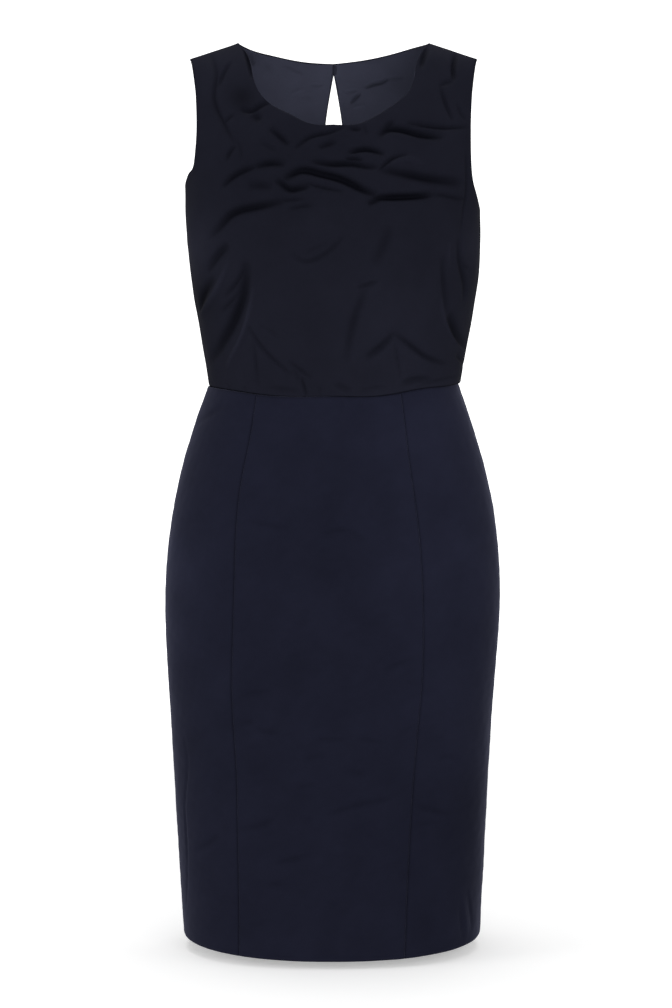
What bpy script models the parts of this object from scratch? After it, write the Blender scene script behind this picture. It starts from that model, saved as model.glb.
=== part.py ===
"""Sleeveless pencil dress, hollow and filled out as if worn, hung from its shoulders.

Metres, +Z up, front towards -Y, the wearer's right towards -X. The origin is where the
shoulders carry the dress: midway between them, at the middle of the shoulder seams.

The cloth follows one smooth form made of rings. A ring is a rounded oval with its own half
width, front depth and back depth. The form has a bodice table and a skirt table, which meet
at the waist seam. Every panel is a grid of points on the form between its cut edges, pushed
in or out by the folds, and thickened inwards.
"""
from collections import namedtuple
import math

import bpy
import bmesh
import numpy as np
from mathutils import Matrix, Vector

# ---------------------------------------------------------------- driving dimensions
CLOTH = 0.0014              # wall thickness of the cloth
SEAM_GAP = 0.0003           # clear gap between neighbouring pieces
SHOULDER_TOP = 0.0382       # level at which front and back meet, before the shoulder slope
SHOULDER_SLOPE = 0.334      # fall of the shoulder for each metre outwards
SLOPE_EASE = 0.020          # rounds the slope off towards the neck
SLOPE_FADE = 0.150          # depth over which the shoulder slope dies out into level rings
SHOULDER_TIP = 0.1602       # from the centre line to the outer end of the shoulder seam
NECK_POINT = 0.1056         # from the centre line to the inner end of the shoulder seam
UNDERARM_LEFT = -0.156      # height of the armhole's lowest point on -X
UNDERARM_RIGHT = -0.179     # and on +X, which hangs a little lower
WAIST_HEIGHT = -0.3695      # waist seam at the side seams, on average
WAIST_DIP = 0.0090          # the waist seam is this much lower at the centre
WAIST_TILT = 0.0022         # and this much higher on +X, lower on -X
HEM_HEIGHT = -0.9914        # hem at the side seams and the back
HEM_DIP = 0.0087            # the hem is this much lower at the centre front
VENT_TOP = -0.800           # walking vent in the centre back seam
KEYHOLE_TOP = -0.0205
KEYHOLE_BOTTOM = -0.1200
KEYHOLE_HALF = 0.0118       # greatest half width of the keyhole
ZIP_TOP = -0.1120            # the zip's tapes, inside the centre back seam
ZIP_BOTTOM = -0.5600
TAPE_THICKNESS = 0.0009
TAPE_EDGE = 0.09            # share of the narrow column left free beside the seam
SLIDER_HEIGHT = -0.1155     # of the bar that the pull tab swings on
SLIDER_SIZE = (0.0080, 0.0030, 0.0090)
BAR_OUT = 0.0010            # from the cloth's outer face out to the bar
BAR_RADIUS = 0.0005
EAR_SIZE = (0.0008, 0.0040)             # thickness and height of the ears that hold the bar
TAB_EYE = (0.0010, 0.0015)              # half width and radius of the tab's eye
TAB_NECK = 0.0045           # length of the tab's neck, from the bar to the plate
TAB_PLATE = (0.0066, 0.0010, 0.0200)
BUTTON_PLACE = (0.0070, -0.0162)        # on the right back, across and up
BUTTON_RADIUS = 0.0050
BUTTON_THICKNESS = 0.0048
LOOP_RADIUS = 0.0052        # of the button loop, at the middle of its cord
LOOP_CORD = 0.0006          # radius of the cord
LOOP_ROOT = -0.0036         # where the loop's ends lie on the left back
STRIP = (0.0, 0.0125, 0.026, 0.040)     # widths of the narrow columns beside the centre back
LIP = 0.0015                # width of the narrow row or column along a seam, which keeps it square
EDGE_HOLD = 6               # how fast the bodice grids let go of the shape of their side edges
BODICE_FRONT_GRID = (46, 31)            # columns across, rows up
BODICE_BACK_COLUMNS = 9                 # besides the narrow ones
BODICE_BACK_ROWS = (14, 13)             # below and beside the keyhole
SKIRT_ROWS = 26
SKIRT_FRONT_COLUMNS = 9
SKIRT_SIDE_COLUMNS = 6
SKIRT_BACK_COLUMNS = 8                  # besides the narrow ones

# Rings from the shoulder line down to the waist: level, then where its centre lies across,
# half the width, depth to the front, depth to the back, and how square the oval is.
RING_COLUMNS = ("level", "centre", "half_width", "front", "back", "square")
BODICE_RINGS = (
    (+0.0382, +0.0000, 0.1738, 0.0000, 0.0000, 3.00),
    (+0.0240, +0.0000, 0.1738, 0.0318, 0.0370, 3.00),
    (-0.0100, +0.0000, 0.1738, 0.0586, 0.0680, 2.90),
    (-0.0500, +0.0000, 0.1728, 0.0793, 0.0855, 2.80),
    (-0.0860, +0.0000, 0.1713, 0.0941, 0.0945, 2.70),
    (-0.1200, -0.0002, 0.1686, 0.1062, 0.1000, 2.60),
    (-0.1500, -0.0003, 0.1654, 0.1158, 0.1035, 2.50),
    (-0.1800, -0.0010, 0.1643, 0.1240, 0.1055, 2.45),
    (-0.2100, +0.0002, 0.1638, 0.1285, 0.1060, 2.40),
    (-0.2360, +0.0010, 0.1618, 0.1285, 0.1045, 2.35),
    (-0.2630, +0.0013, 0.1588, 0.1260, 0.1015, 2.30),
    (-0.2900, +0.0014, 0.1541, 0.1215, 0.0980, 2.25),
    (-0.3180, +0.0012, 0.1494, 0.1160, 0.0935, 2.20),
    (-0.3450, +0.0012, 0.1448, 0.1110, 0.0895, 2.20),
    (-0.3720, +0.0010, 0.1405, 0.1070, 0.0865, 2.20),
    (-0.3900, +0.0010, 0.1382, 0.1050, 0.0855, 2.20),
)
SKIRT_RINGS = (
    (-0.3600, +0.0000, 0.1360, 0.1040, 0.0845, 2.20),
    (-0.3700, +0.0000, 0.1403, 0.1048, 0.0852, 2.20),
    (-0.3790, -0.0002, 0.1432, 0.1057, 0.0860, 2.20),
    (-0.3940, -0.0003, 0.1488, 0.1078, 0.0905, 2.20),
    (-0.4230, -0.0002, 0.1583, 0.1105, 0.1000, 2.20),
    (-0.4510, -0.0003, 0.1669, 0.1130, 0.1095, 2.20),
    (-0.4790, -0.0005, 0.1738, 0.1145, 0.1180, 2.20),
    (-0.5070, -0.0003, 0.1800, 0.1155, 0.1255, 2.20),
    (-0.5360, -0.0003, 0.1842, 0.1160, 0.1315, 2.20),
    (-0.5640, -0.0007, 0.1871, 0.1165, 0.1355, 2.20),
    (-0.6200, -0.0013, 0.1888, 0.1180, 0.1375, 2.20),
    (-0.6770, -0.0022, 0.1865, 0.1195, 0.1345, 2.20),
    (-0.7330, -0.0029, 0.1822, 0.1205, 0.1290, 2.20),
    (-0.7900, -0.0029, 0.1794, 0.1205, 0.1240, 2.20),
    (-0.8460, -0.0031, 0.1764, 0.1200, 0.1200, 2.20),
    (-0.9030, -0.0026, 0.1734, 0.1190, 0.1170, 2.20),
    (-1.0010, -0.0020, 0.1681, 0.1175, 0.1140, 2.20),
)

# Front neck edge from the left shoulder to the right, across and up, a little uneven.
FRONT_NECK = (
    (-0.1056, +0.0090), (-0.0933, -0.0110), (-0.0868, -0.0370), (-0.0680, -0.0635),
    (-0.0455, -0.0752), (-0.0300, -0.0835), (+0.0000, -0.0862), (+0.0275, -0.0850),
    (+0.0503, -0.0738), (+0.0690, -0.0612), (+0.0856, -0.0418), (+0.0918, -0.0140),
    (+0.1056, +0.0090),
)
# Back neck edge from the shoulder to the centre back: across, then up on the left and on the right.
BACK_NECK = (
    (0.1056, +0.0090, +0.0090),
    (0.0915, +0.0038, +0.0066),
    (0.0730, -0.0002, +0.0024),
    (0.0365, -0.0064, -0.0045),
    (0.0000, -0.0084, -0.0084),
)
# Armhole edge from the shoulder tip down: share of the drop to the underarm, then how far
# from the centre line its front edge runs on the left and on the right, and its back edge.
ARMHOLE = (
    (0.00, 0.1602, 0.1602, 0.1602),
    (0.14, 0.1541, 0.1541, 0.1572),
    (0.32, 0.1516, 0.1516, 0.1552),
    (0.54, 0.1504, 0.1504, 0.1542),
    (0.78, 0.1529, 0.1525, 0.1562),
    (0.86, 0.1583, 0.1561, 0.1585),
    (0.94, 0.1640, 0.1605, 0.1625),
)
# Curved panel seams of the skirt front: height, left seam and right seam across.
PANEL_SEAMS = (
    (-0.3600, -0.0818, 0.0720),
    (-0.4300, -0.0924, 0.0801),
    (-0.4700, -0.1005, 0.0854),
    (-0.5200, -0.1064, 0.0923),
    (-0.5700, -0.1084, 0.0966),
    (-0.6300, -0.1102, 0.0982),
    (-0.6900, -0.1118, 0.0972),
    (-0.7350, -0.1105, 0.0933),
    (-0.7850, -0.1072, 0.0889),
    (-0.8400, -0.1059, 0.0852),
    (-0.9000, -0.1050, 0.0821),
    (-1.0010, -0.1048, 0.0780),
)

# Folds as soft troughs (or ridges, where the depth is negative) in millimetres: their start,
# middle and end across and up, the depth, and half the width.
Fold = namedtuple("Fold", "start middle end depth half_width")
BODICE_FOLDS = (
    Fold((-53, -138), (18, -141), (113, -164), 6.5, 13.0),      # main drape, left of centre to right
    Fold((-22, -115), (52, -115), (128, -132), 3.5, 11.0),      # loop above the main drape
    Fold((74, -90), (107, -89), (145, -88), 3.5, 10.0),
    Fold((-121, -147), (-90, -127), (-58, -123), 4.0, 10.0),
    Fold((-124, -187), (-93, -172), (-31, -160), 5.0, 10.0),
    Fold((-114, -206), (-126, -221), (-142, -240), 3.5, 10.0),
    Fold((-98, -230), (-109, -246), (-123, -266), 3.0, 9.0),
    Fold((-119, -262), (-113, -294), (-111, -327), 4.0, 12.0),
    Fold((-147, -249), (-141, -294), (-138, -343), 4.0, 10.0),
    Fold((31, -257), (28, -295), (18, -337), 2.5, 12.0),
    Fold((146, -188), (145, -229), (137, -269), 3.0, 10.0),
    Fold((128, -305), (138, -319), (140, -343), 3.0, 10.0),
)

COLLECTION_NAME = "pencil_dress"
SATIN_COLOUR = (0.0115, 0.0125, 0.0210)
TWILL_COLOUR = (0.0120, 0.0135, 0.0235)
TAPE_COLOUR = (0.0110, 0.0120, 0.0190)
METAL_COLOUR = (0.0200, 0.0220, 0.0300)


# ---------------------------------------------------------------- curves and the form
def smooth_curve(knots, values):
    """Natural cubic spline through the knots, as a function that takes arrays."""
    knots = np.asarray(knots, float)
    values = np.asarray(values, float)
    steps = np.diff(knots)
    last = len(knots) - 1
    system = np.eye(last + 1)
    right = np.zeros(last + 1)
    for i in range(1, last):
        system[i, i - 1:i + 2] = (steps[i - 1], 2 * (steps[i - 1] + steps[i]), steps[i])
        rise_after = (values[i + 1] - values[i]) / steps[i]
        rise_before = (values[i] - values[i - 1]) / steps[i - 1]
        right[i] = 6 * (rise_after - rise_before)
    bend = np.linalg.solve(system, right)

    def value(at):
        at = np.asarray(at, float)
        k = np.clip(np.searchsorted(knots, at) - 1, 0, last - 1)
        step = steps[k]
        p = (knots[k + 1] - at) / step
        q = 1 - p
        curved = (p ** 3 - p) * bend[k] + (q ** 3 - q) * bend[k + 1]
        return p * values[k] + q * values[k + 1] + curved * step * step / 6

    return value


def lengths_along(points):
    """Running length of a polyline."""
    return np.concatenate([[0], np.cumsum(np.linalg.norm(np.diff(points, axis=0), axis=1))])


def smooth_path(points):
    """Smooth path through points in the plane, as a function of the share of its length."""
    points = np.asarray(points, float)
    lengths = lengths_along(points)
    shares = lengths / lengths[-1]
    across = smooth_curve(shares, points[:, 0])
    up = smooth_curve(shares, points[:, 1])
    return lambda share: (across(share), up(share))


def make_form(rings):
    """Each column of a ring table as a smooth function of the root of the depth below the top."""
    columns = np.array(rings).T
    root = np.sqrt(SHOULDER_TOP - columns[0])
    return {name: smooth_curve(root, column) for name, column in zip(RING_COLUMNS[1:], columns[1:])}


BODICE = make_form(BODICE_RINGS)
SKIRT = make_form(SKIRT_RINGS)


def shoulder_fall(x, level):
    """How far below its ring's level a point lies, for the slope of the shoulders."""
    share = np.clip(1 + level / SLOPE_FADE, 0, 1)
    fade = share * share * (3 - 2 * share)
    return fade * SHOULDER_SLOPE * (np.sqrt(x * x + SLOPE_EASE ** 2) - SLOPE_EASE)


def on_form(form, face, angle, root):
    """Points of the form's front (face -1) or back (face +1).

    The angle runs from pi at the left side seam to 0 at the right one. The root is the
    square root of the ring's depth below the shoulder top.
    """
    angle, root = np.broadcast_arrays(angle, root)
    power = 2 / form["square"](root)
    depth = form["front" if face < 0 else "back"](root)
    across = np.cos(angle)
    x = form["centre"](root) + form["half_width"](root) * np.sign(across) * np.abs(across) ** power
    y = face * (depth * np.abs(np.sin(angle)) ** power + SEAM_GAP / 2)
    level = SHOULDER_TOP - root ** 2
    return np.stack([x, y, level - shoulder_fall(x, level)], axis=-1)


def place_of(form, x, z):
    """Angle and root of the form's point at x across and z up."""
    x, z = np.broadcast_arrays(np.asarray(x, float), np.asarray(z, float))
    level = z.copy()
    for _ in range(40):
        level = z + shoulder_fall(x, level)
    root = np.sqrt(np.maximum(SHOULDER_TOP - level, 0))
    share = (x - form["centre"](root)) / form["half_width"](root)
    cosine = np.sign(share) * np.minimum(np.abs(share), 1) ** (form["square"](root) / 2)
    return np.arccos(cosine), root


def even_shares(count, path):
    """Shares of a path that cut it into equal lengths."""
    fine = np.linspace(0, 1, 400)
    lengths = lengths_along(path(fine))
    return np.interp(np.linspace(0, lengths[-1], count + 1), lengths, fine)


def with_lip(start, end, count, lip):
    """Even steps from start to end, the last of them split off as a narrow lip."""
    inner = end - (end - start) * lip
    return np.append(np.linspace(start, inner, count + 1), end)


# ---------------------------------------------------------------- cut edges
def waist_height(share):
    """Height of the waist seam at a share of the half width, from -1 on the left to 1."""
    return WAIST_HEIGHT - WAIST_DIP * (1 - share ** 2) + WAIST_TILT * share


def waist_edge(angle):
    """Root of the waist seam at an angle."""
    return np.sqrt(SHOULDER_TOP - waist_height(np.cos(angle)))


def armhole_path(face, side):
    """Armhole edge from the underarm to the shoulder tip, as angle and root of its share."""
    underarm = UNDERARM_LEFT if side < 0 else UNDERARM_RIGHT
    tip_fall = SHOULDER_SLOPE * (math.hypot(SHOULDER_TIP, SLOPE_EASE) - SLOPE_EASE)
    tip = SHOULDER_TOP - tip_fall
    column = 3 if face > 0 else 1 if side < 0 else 2
    x = [side * row[column] for row in ARMHOLE]
    z = [tip + (underarm - tip) * row[0] for row in ARMHOLE]
    angles, roots = place_of(BODICE, np.array(x), np.array(z))
    end_angle = math.pi if side < 0 else 0.0
    angles = np.append(angles, end_angle)[::-1]
    roots = np.append(roots, math.sqrt(SHOULDER_TOP - underarm))[::-1]
    return smooth_path(np.stack([angles, roots], axis=1))


def side_edge(face, side, rows):
    """Side seam up to the underarm, then the armhole up to the shoulder tip."""
    lower = rows // 2
    underarm = UNDERARM_LEFT if side < 0 else UNDERARM_RIGHT
    side_angle = math.pi if side < 0 else 0.0
    heights = np.linspace(waist_height(side), underarm, lower + 1)[:-1]
    armhole = armhole_path(face, side)
    shares = even_shares(rows - lower, lambda share: on_form(BODICE, face, *armhole(share)))
    angles, roots = armhole(shares)
    roots[-1] = 0.0
    return (np.append(np.full(lower, side_angle), angles),
            np.append(np.sqrt(SHOULDER_TOP - heights), roots))


def shoulder_and_neck(face, side, seam_steps, neck_steps):
    """Top edge of one half: shoulder seam from the tip inwards, then the neck edge."""
    seam_x = side * np.linspace(SHOULDER_TIP, NECK_POINT, seam_steps + 1)
    roots = np.zeros(len(seam_x))
    share = seam_x / BODICE["half_width"](roots)
    angles = np.arccos(np.sign(share) * np.abs(share) ** (BODICE["square"](roots) / 2))
    neck = smooth_path([(side * row[0], row[1 if side < 0 else 2]) for row in BACK_NECK])
    if face < 0:
        middle = len(FRONT_NECK) // 2
        points = FRONT_NECK[:middle + 1] if side < 0 else FRONT_NECK[middle:][::-1]
        neck = smooth_path(points)
    shares = even_shares(neck_steps, lambda s: on_form(BODICE, face, *place_of(BODICE, *neck(s))))
    neck_angles, neck_roots = place_of(BODICE, *neck(shares[1:]))
    return np.append(angles, neck_angles), np.append(roots, neck_roots)


def keyhole_half(z):
    """Half width of the keyhole at a height: a teardrop, fullest low down."""
    share = np.clip((KEYHOLE_TOP - z) / (KEYHOLE_TOP - KEYHOLE_BOTTOM), 0, 1)
    shape = share ** 0.95 * np.sqrt(np.maximum(1 - share ** 3.2, 0))
    return KEYHOLE_HALF * shape / 0.655


def centre_back_edge(side, rows):
    """Centre back edge of a bodice back, with its half of the keyhole."""
    lower, upper = rows

    def place(z):
        x = side * (SEAM_GAP / 2 + keyhole_half(z)) + BODICE["centre"](np.sqrt(SHOULDER_TOP - z))
        return place_of(BODICE, x, z)

    def keyhole(share):
        z = KEYHOLE_BOTTOM + (BACK_NECK[-1][1] - KEYHOLE_BOTTOM) * share ** 2
        return on_form(BODICE, 1, *place(z))

    shares = even_shares(upper, keyhole)
    heights = np.append(np.linspace(waist_height(0.0), KEYHOLE_BOTTOM, lower + 1)[:-1],
                        KEYHOLE_BOTTOM + (BACK_NECK[-1][1] - KEYHOLE_BOTTOM) * shares ** 2)
    return place(heights)


# ---------------------------------------------------------------- folds and grids
def nearest_on_line(points, line):
    """Distance from each point to a polyline, and the share of the way along it."""
    starts, ends = line[:-1], line[1:]
    steps = ends - starts
    reach = points[..., None, :] - starts
    share = np.clip((reach * steps).sum(-1) / (steps * steps).sum(-1), 0, 1)
    gaps = np.linalg.norm(reach - share[..., None] * steps, axis=-1)
    nearest = gaps.argmin(axis=-1)[..., None]
    along = np.take_along_axis(share, nearest, -1)[..., 0] + nearest[..., 0]
    return np.take_along_axis(gaps, nearest, -1)[..., 0], along / len(steps)


def fold_relief(points, folds):
    """How far the folds push each point in, in metres."""
    relief = np.zeros(points.shape[:-1])
    share = np.linspace(0, 1, 25)[:, None]
    for fold in folds:
        ends = np.array((fold.start, fold.middle, fold.end)) / 1000
        bend = 2 * ends[1] - (ends[0] + ends[2]) / 2
        route = (1 - share) ** 2 * ends[0] + share ** 2 * ends[2] + 2 * share * (1 - share) * bend
        line = on_form(BODICE, -1, *place_of(BODICE, route[:, 0], route[:, 1]))
        gap, along = nearest_on_line(points, line)
        taper = np.sin(math.pi * np.clip(along, 0, 1)) ** 0.6
        relief += fold.depth / 1000 * taper * np.exp(-(gap * 1000 / fold.half_width) ** 2)
    return relief


def patch(face, rows, bottom, top, left, right, across):
    """Grid of angles and roots between four edges, whose columns and rows bend as the sides do."""
    up = np.linspace(0, 1, 161)[:, None]
    roots = (1 - up) * bottom[1] + up * top[1]
    angles = (1 - up) * bottom[0] + up * top[0]
    sides = [(left, (1 - across) ** EDGE_HOLD), (right, across ** EDGE_HOLD)]
    for (side_angles, side_roots), near in sides:
        straight = np.interp(-roots, -side_roots[[0, -1]], side_angles[[0, -1]])
        bow = near * (np.interp(-roots, -side_roots, side_angles) - straight)
        angles += bow - (1 - up) * bow[0] - up * bow[-1]
    points = on_form(BODICE, face, angles, roots)
    grid = np.zeros((2, rows + 1, len(across)))
    for i in range(len(across)):
        lengths = lengths_along(points[:, i])
        even = np.interp(np.linspace(0, lengths[-1], rows + 1), lengths, up[:, 0])
        share = even.copy()
        for (_, side_roots), near in sides:
            side_share = (side_roots - side_roots[0]) / (side_roots[-1] - side_roots[0])
            share += near[i] * (side_share - even)
        grid[0, :, i] = np.interp(share, up[:, 0], angles[:, i])
        grid[1, :, i] = np.interp(share, up[:, 0], roots[:, i])
    grid[:, :, 0] = left
    grid[:, :, -1] = right
    return grid


def add_lip(grid, face):
    """Splits a narrow strip off a grid along its last column."""
    edge, inner = grid[..., -1], grid[..., -2]
    width = np.linalg.norm(on_form(BODICE, face, *edge) - on_form(BODICE, face, *inner), axis=-1)
    lip = edge + (inner - edge) * LIP / width
    return np.concatenate([grid[..., :-1], lip[..., None], edge[..., None]], axis=-1)


def add_lips(grid, face, both_sides):
    """Narrow strips along the side edges and the top edge of a grid."""
    grid = add_lip(grid, face)
    if both_sides:
        grid = add_lip(grid[..., ::-1], face)[..., ::-1]
    return add_lip(grid.transpose(0, 2, 1), face).transpose(0, 2, 1)


def grid_normals(points):
    """Unit normals of a grid of points, away from the inside of the dress."""
    up, across = np.gradient(points, axis=(0, 1))
    normals = np.cross(across, up)
    normals /= np.linalg.norm(normals, axis=-1, keepdims=True)
    middle = points[points.shape[0] // 2, points.shape[1] // 2]
    facing = normals[points.shape[0] // 2, points.shape[1] // 2]
    if facing[0] * middle[0] + facing[1] * middle[1] < 0:
        normals = -normals
    return normals


# ---------------------------------------------------------------- Blender objects
def clear_scene():
    for old in list(bpy.data.objects):
        bpy.data.objects.remove(old, do_unlink=True)
    collection = bpy.data.collections.new(COLLECTION_NAME)
    bpy.context.scene.collection.children.link(collection)
    return collection


def make_material(name, colour, roughness, metallic=0.0, sheen=0.0):
    material = bpy.data.materials.new(name)
    material.use_nodes = True
    shader = material.node_tree.nodes["Principled BSDF"]
    shader.inputs["Base Color"].default_value = (*colour, 1)
    shader.inputs["Roughness"].default_value = roughness
    shader.inputs["Metallic"].default_value = metallic
    shader.inputs["Sheen Weight"].default_value = sheen
    material.diffuse_color = (*colour, 1)
    return material


def link_mesh(collection, name, mesh, material):
    piece = bpy.data.objects.new(name, mesh)
    mesh.materials.append(material)
    collection.objects.link(piece)
    return piece


def grid_piece(collection, name, points, material, thickness=CLOTH, keep=None):
    """A panel: a grid of points as one open sheet, thickened towards the inside."""
    rows, columns = points.shape[:2]
    j, i = rows // 2 - 1, columns // 2 - 1
    middle = points[j, i]
    up = points[j + 1, i] - middle
    across = points[j, i + 1] - middle
    outward = np.cross(across, up)
    rightwards = outward[0] * middle[0] + outward[1] * middle[1] > 0
    mesh = bpy.data.meshes.new(name)
    build = bmesh.new()
    verts = [[build.verts.new(points[j, i]) for i in range(columns)] for j in range(rows)]
    for j in range(rows - 1):
        for i in range(columns - 1):
            if keep is not None and not keep[j, i]:
                continue
            loop = (verts[j][i], verts[j][i + 1], verts[j + 1][i + 1], verts[j + 1][i])
            build.faces.new(loop if rightwards else loop[::-1])
    loose = [vert for vert in build.verts if not vert.link_faces]
    bmesh.ops.delete(build, geom=loose, context="VERTS")
    for edge in build.edges:
        edge.smooth = not edge.is_boundary
    build.to_mesh(mesh)
    build.free()
    mesh.shade_smooth()
    piece = link_mesh(collection, name, mesh, material)
    wall = piece.modifiers.new("wall", "SOLIDIFY")
    wall.thickness = thickness
    wall.offset = -1
    return piece


# ---------------------------------------------------------------- bodice
def bodice_front(collection, material):
    columns, rows = BODICE_FRONT_GRID
    seam_steps = 5
    left = side_edge(-1, -1, rows)
    right = side_edge(-1, 1, rows)
    neck_steps = columns // 2 - seam_steps
    top_left = shoulder_and_neck(-1, -1, seam_steps, neck_steps)
    top_right = shoulder_and_neck(-1, 1, seam_steps, neck_steps)
    top = [np.append(top_left[k], top_right[k][-2::-1]) for k in range(2)]
    waist_root = waist_edge(math.pi / 2)
    across = even_shares(columns, lambda s: on_form(BODICE, -1, math.pi * (1 - s), waist_root))
    angles = math.pi * (1 - across)
    bottom = (angles, waist_edge(angles) - SEAM_GAP)
    grid = add_lips(patch(-1, rows, bottom, top, left, right, across), -1, both_sides=True)
    points = on_form(BODICE, -1, *grid)
    relief = fold_relief(points, BODICE_FOLDS) * edge_fade(points)
    points = points - grid_normals(points) * relief[..., None]
    return grid_piece(collection, "bodice_front", points, material)


def edge_fade(points):
    """Fades the folds out over the last few millimetres before a panel's edges."""
    fade = np.ones(points.shape[:2])
    reach = 0.012
    for edge in (points[0], points[-1], points[:, 0], points[:, -1]):
        gaps = np.linalg.norm(points[:, :, None, :] - edge, axis=-1).min(axis=-1)
        share = np.clip(gaps / reach, 0, 1)
        fade = np.minimum(fade, share * share * (3 - 2 * share))
    return fade


def bodice_back_points(side):
    """Grid of one bodice back: rows from the waist up, columns from the centre back outwards."""
    rows = sum(BODICE_BACK_ROWS)
    outer = side_edge(1, side, rows)
    inner = centre_back_edge(side, BODICE_BACK_ROWS)
    seam_steps = 4
    waist_root = waist_edge(math.pi / 2)
    strip_x = BODICE["centre"](waist_root) + side * (np.array(STRIP) + SEAM_GAP / 2)
    strip_angles, _ = place_of(BODICE, strip_x, waist_height(0.0))
    side_angle = math.pi if side < 0 else 0.0
    rest = np.linspace(strip_angles[-1], side_angle, BODICE_BACK_COLUMNS + 1)
    bottom_angles = np.append(strip_angles, rest[1:])
    bottom = (bottom_angles, waist_edge(bottom_angles) - SEAM_GAP)

    neck = smooth_path([(side * row[0], row[1 if side < 0 else 2]) for row in BACK_NECK])
    neck_steps = BODICE_BACK_COLUMNS - seam_steps
    seam_angles, seam_roots = shoulder_and_neck(1, side, seam_steps, 1)
    share_at_strip = 1 - STRIP[-1] / NECK_POINT * 0.96
    shares = np.linspace(0, share_at_strip, neck_steps + 1)
    strip_shares = 1 - (1 - share_at_strip) * np.array(STRIP[-2::-1]) / STRIP[-1]
    neck_angles, neck_roots = place_of(BODICE, *neck(np.append(shares[1:], strip_shares)))
    top_angles = np.append(seam_angles[:seam_steps + 1], neck_angles)[::-1].copy()
    top_roots = np.append(seam_roots[:seam_steps + 1], neck_roots)[::-1].copy()
    top_angles[0], top_roots[0] = inner[0][-1], inner[1][-1]
    across = (bottom_angles - bottom_angles[0]) / (side_angle - bottom_angles[0])
    grid = patch(1, rows, bottom, (top_angles, top_roots), inner, outer, across)
    return on_form(BODICE, 1, *add_lips(grid, 1, both_sides=False))


# ---------------------------------------------------------------- skirt
def skirt_roots(face, angles):
    """Rows of roots from the hem up to the waist seam for a grid of angles."""
    waist = waist_edge(angles[-1]) + SEAM_GAP
    hem = SHOULDER_TOP - HEM_HEIGHT
    if face < 0:
        hem = hem + HEM_DIP * np.abs(np.sin(angles[0]))
    share = np.linspace(0, 1, SKIRT_ROWS + 1)[:, None]
    return np.sqrt(hem + (waist ** 2 - hem) * share)


def skirt_panel(face, left_edge, right_edge, columns):
    """Grid of points between two seams, each given as x across (a function of height) or None."""
    lip = LIP / 0.18
    share = np.append(0, with_lip(lip, 1, columns, lip))
    roots = skirt_roots(face, np.full((2, len(share)), math.pi / 2))
    for _ in range(4):
        heights = SHOULDER_TOP - roots ** 2
        left = np.full(SKIRT_ROWS + 1, math.pi)
        right = np.zeros(SKIRT_ROWS + 1)
        if left_edge is not None:
            left, _ = place_of(SKIRT, left_edge(heights[:, 0]) + SEAM_GAP / 2, heights[:, 0])
        if right_edge is not None:
            right, _ = place_of(SKIRT, right_edge(heights[:, -1]) - SEAM_GAP / 2, heights[:, -1])
        angles = left[:, None] + (right - left)[:, None] * share
        roots = skirt_roots(face, angles)
    return on_form(SKIRT, face, angles, roots)


def skirt_back_points(side):
    """Grid of one skirt back: rows from the hem up, columns from the centre back outwards."""
    side_angle = math.pi if side < 0 else 0.0
    angles = np.full((SKIRT_ROWS + 1, len(STRIP) + SKIRT_BACK_COLUMNS + 1), math.pi / 2)
    centre_roots = skirt_roots(1, angles)[:, 0]
    for j, root in enumerate(centre_roots):
        strip_x = SKIRT["centre"](root) + side * (np.array(STRIP) + SEAM_GAP / 2)
        strip_angles, _ = place_of(SKIRT, strip_x, SHOULDER_TOP - root ** 2)
        rest = with_lip(strip_angles[-1], side_angle, SKIRT_BACK_COLUMNS, LIP / 0.2)
        angles[j] = np.append(strip_angles, rest[1:])
    return on_form(SKIRT, 1, angles, skirt_roots(1, angles))


def build_skirt(collection, material):
    seams = np.array(PANEL_SEAMS)[::-1].T
    left_seam = smooth_curve(seams[0], seams[1])
    right_seam = smooth_curve(seams[0], seams[2])
    panels = (
        ("skirt_side_front_left", None, left_seam, SKIRT_SIDE_COLUMNS),
        ("skirt_front", left_seam, right_seam, SKIRT_FRONT_COLUMNS),
        ("skirt_side_front_right", right_seam, None, SKIRT_SIDE_COLUMNS),
    )
    for name, left_edge, right_edge, columns in panels:
        grid_piece(collection, name, skirt_panel(-1, left_edge, right_edge, columns), material)

    left = skirt_back_points(-1)
    grid_piece(collection, "skirt_back_left", left, material)
    right = skirt_back_points(1)
    vent_rows = int(round((VENT_TOP - HEM_HEIGHT) / (waist_height(0.0) - HEM_HEIGHT) * SKIRT_ROWS))
    tucked = CLOTH + 2 * SEAM_GAP
    under = (left - grid_normals(left) * tucked)[:, len(STRIP) - 1:0:-1]
    right[:vent_rows + 1, 0] -= grid_normals(right)[:vent_rows + 1, 0] * tucked
    whole = np.concatenate([under, right], axis=1)
    keep = np.ones((SKIRT_ROWS, whole.shape[1] - 1), bool)
    keep[vent_rows:, :len(STRIP) - 1] = False
    grid_piece(collection, "skirt_back_right", whole, material, keep=keep)
    return left, right


# ---------------------------------------------------------------- closure
def build_zip_tapes(collection, material, bodice_backs, skirt_backs):
    """Two tapes made from the backs' own points beside the centre back seam, moved in."""
    for name, bodice, skirt in zip(("zip_tape_left", "zip_tape_right"), bodice_backs, skirt_backs):
        rows = []
        for points in (skirt, bodice):
            inside = points - grid_normals(points) * (CLOTH + SEAM_GAP)
            seam_edge = inside[:, 0] + (inside[:, 1] - inside[:, 0]) * TAPE_EDGE
            heights = points[:, 0, 2]
            used = (heights < ZIP_TOP) & (heights > ZIP_BOTTOM)
            rows.append(np.stack([seam_edge, inside[:, 1]], axis=1)[used])
        grid_piece(collection, name, np.concatenate(rows), material, thickness=TAPE_THICKNESS)


def add_box(name, size, place):
    bpy.ops.mesh.primitive_cube_add(size=1, location=place)
    box = bpy.context.object
    box.name = name
    box.data.name = name
    box.data.transform(np_scale(size))
    return box


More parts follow.
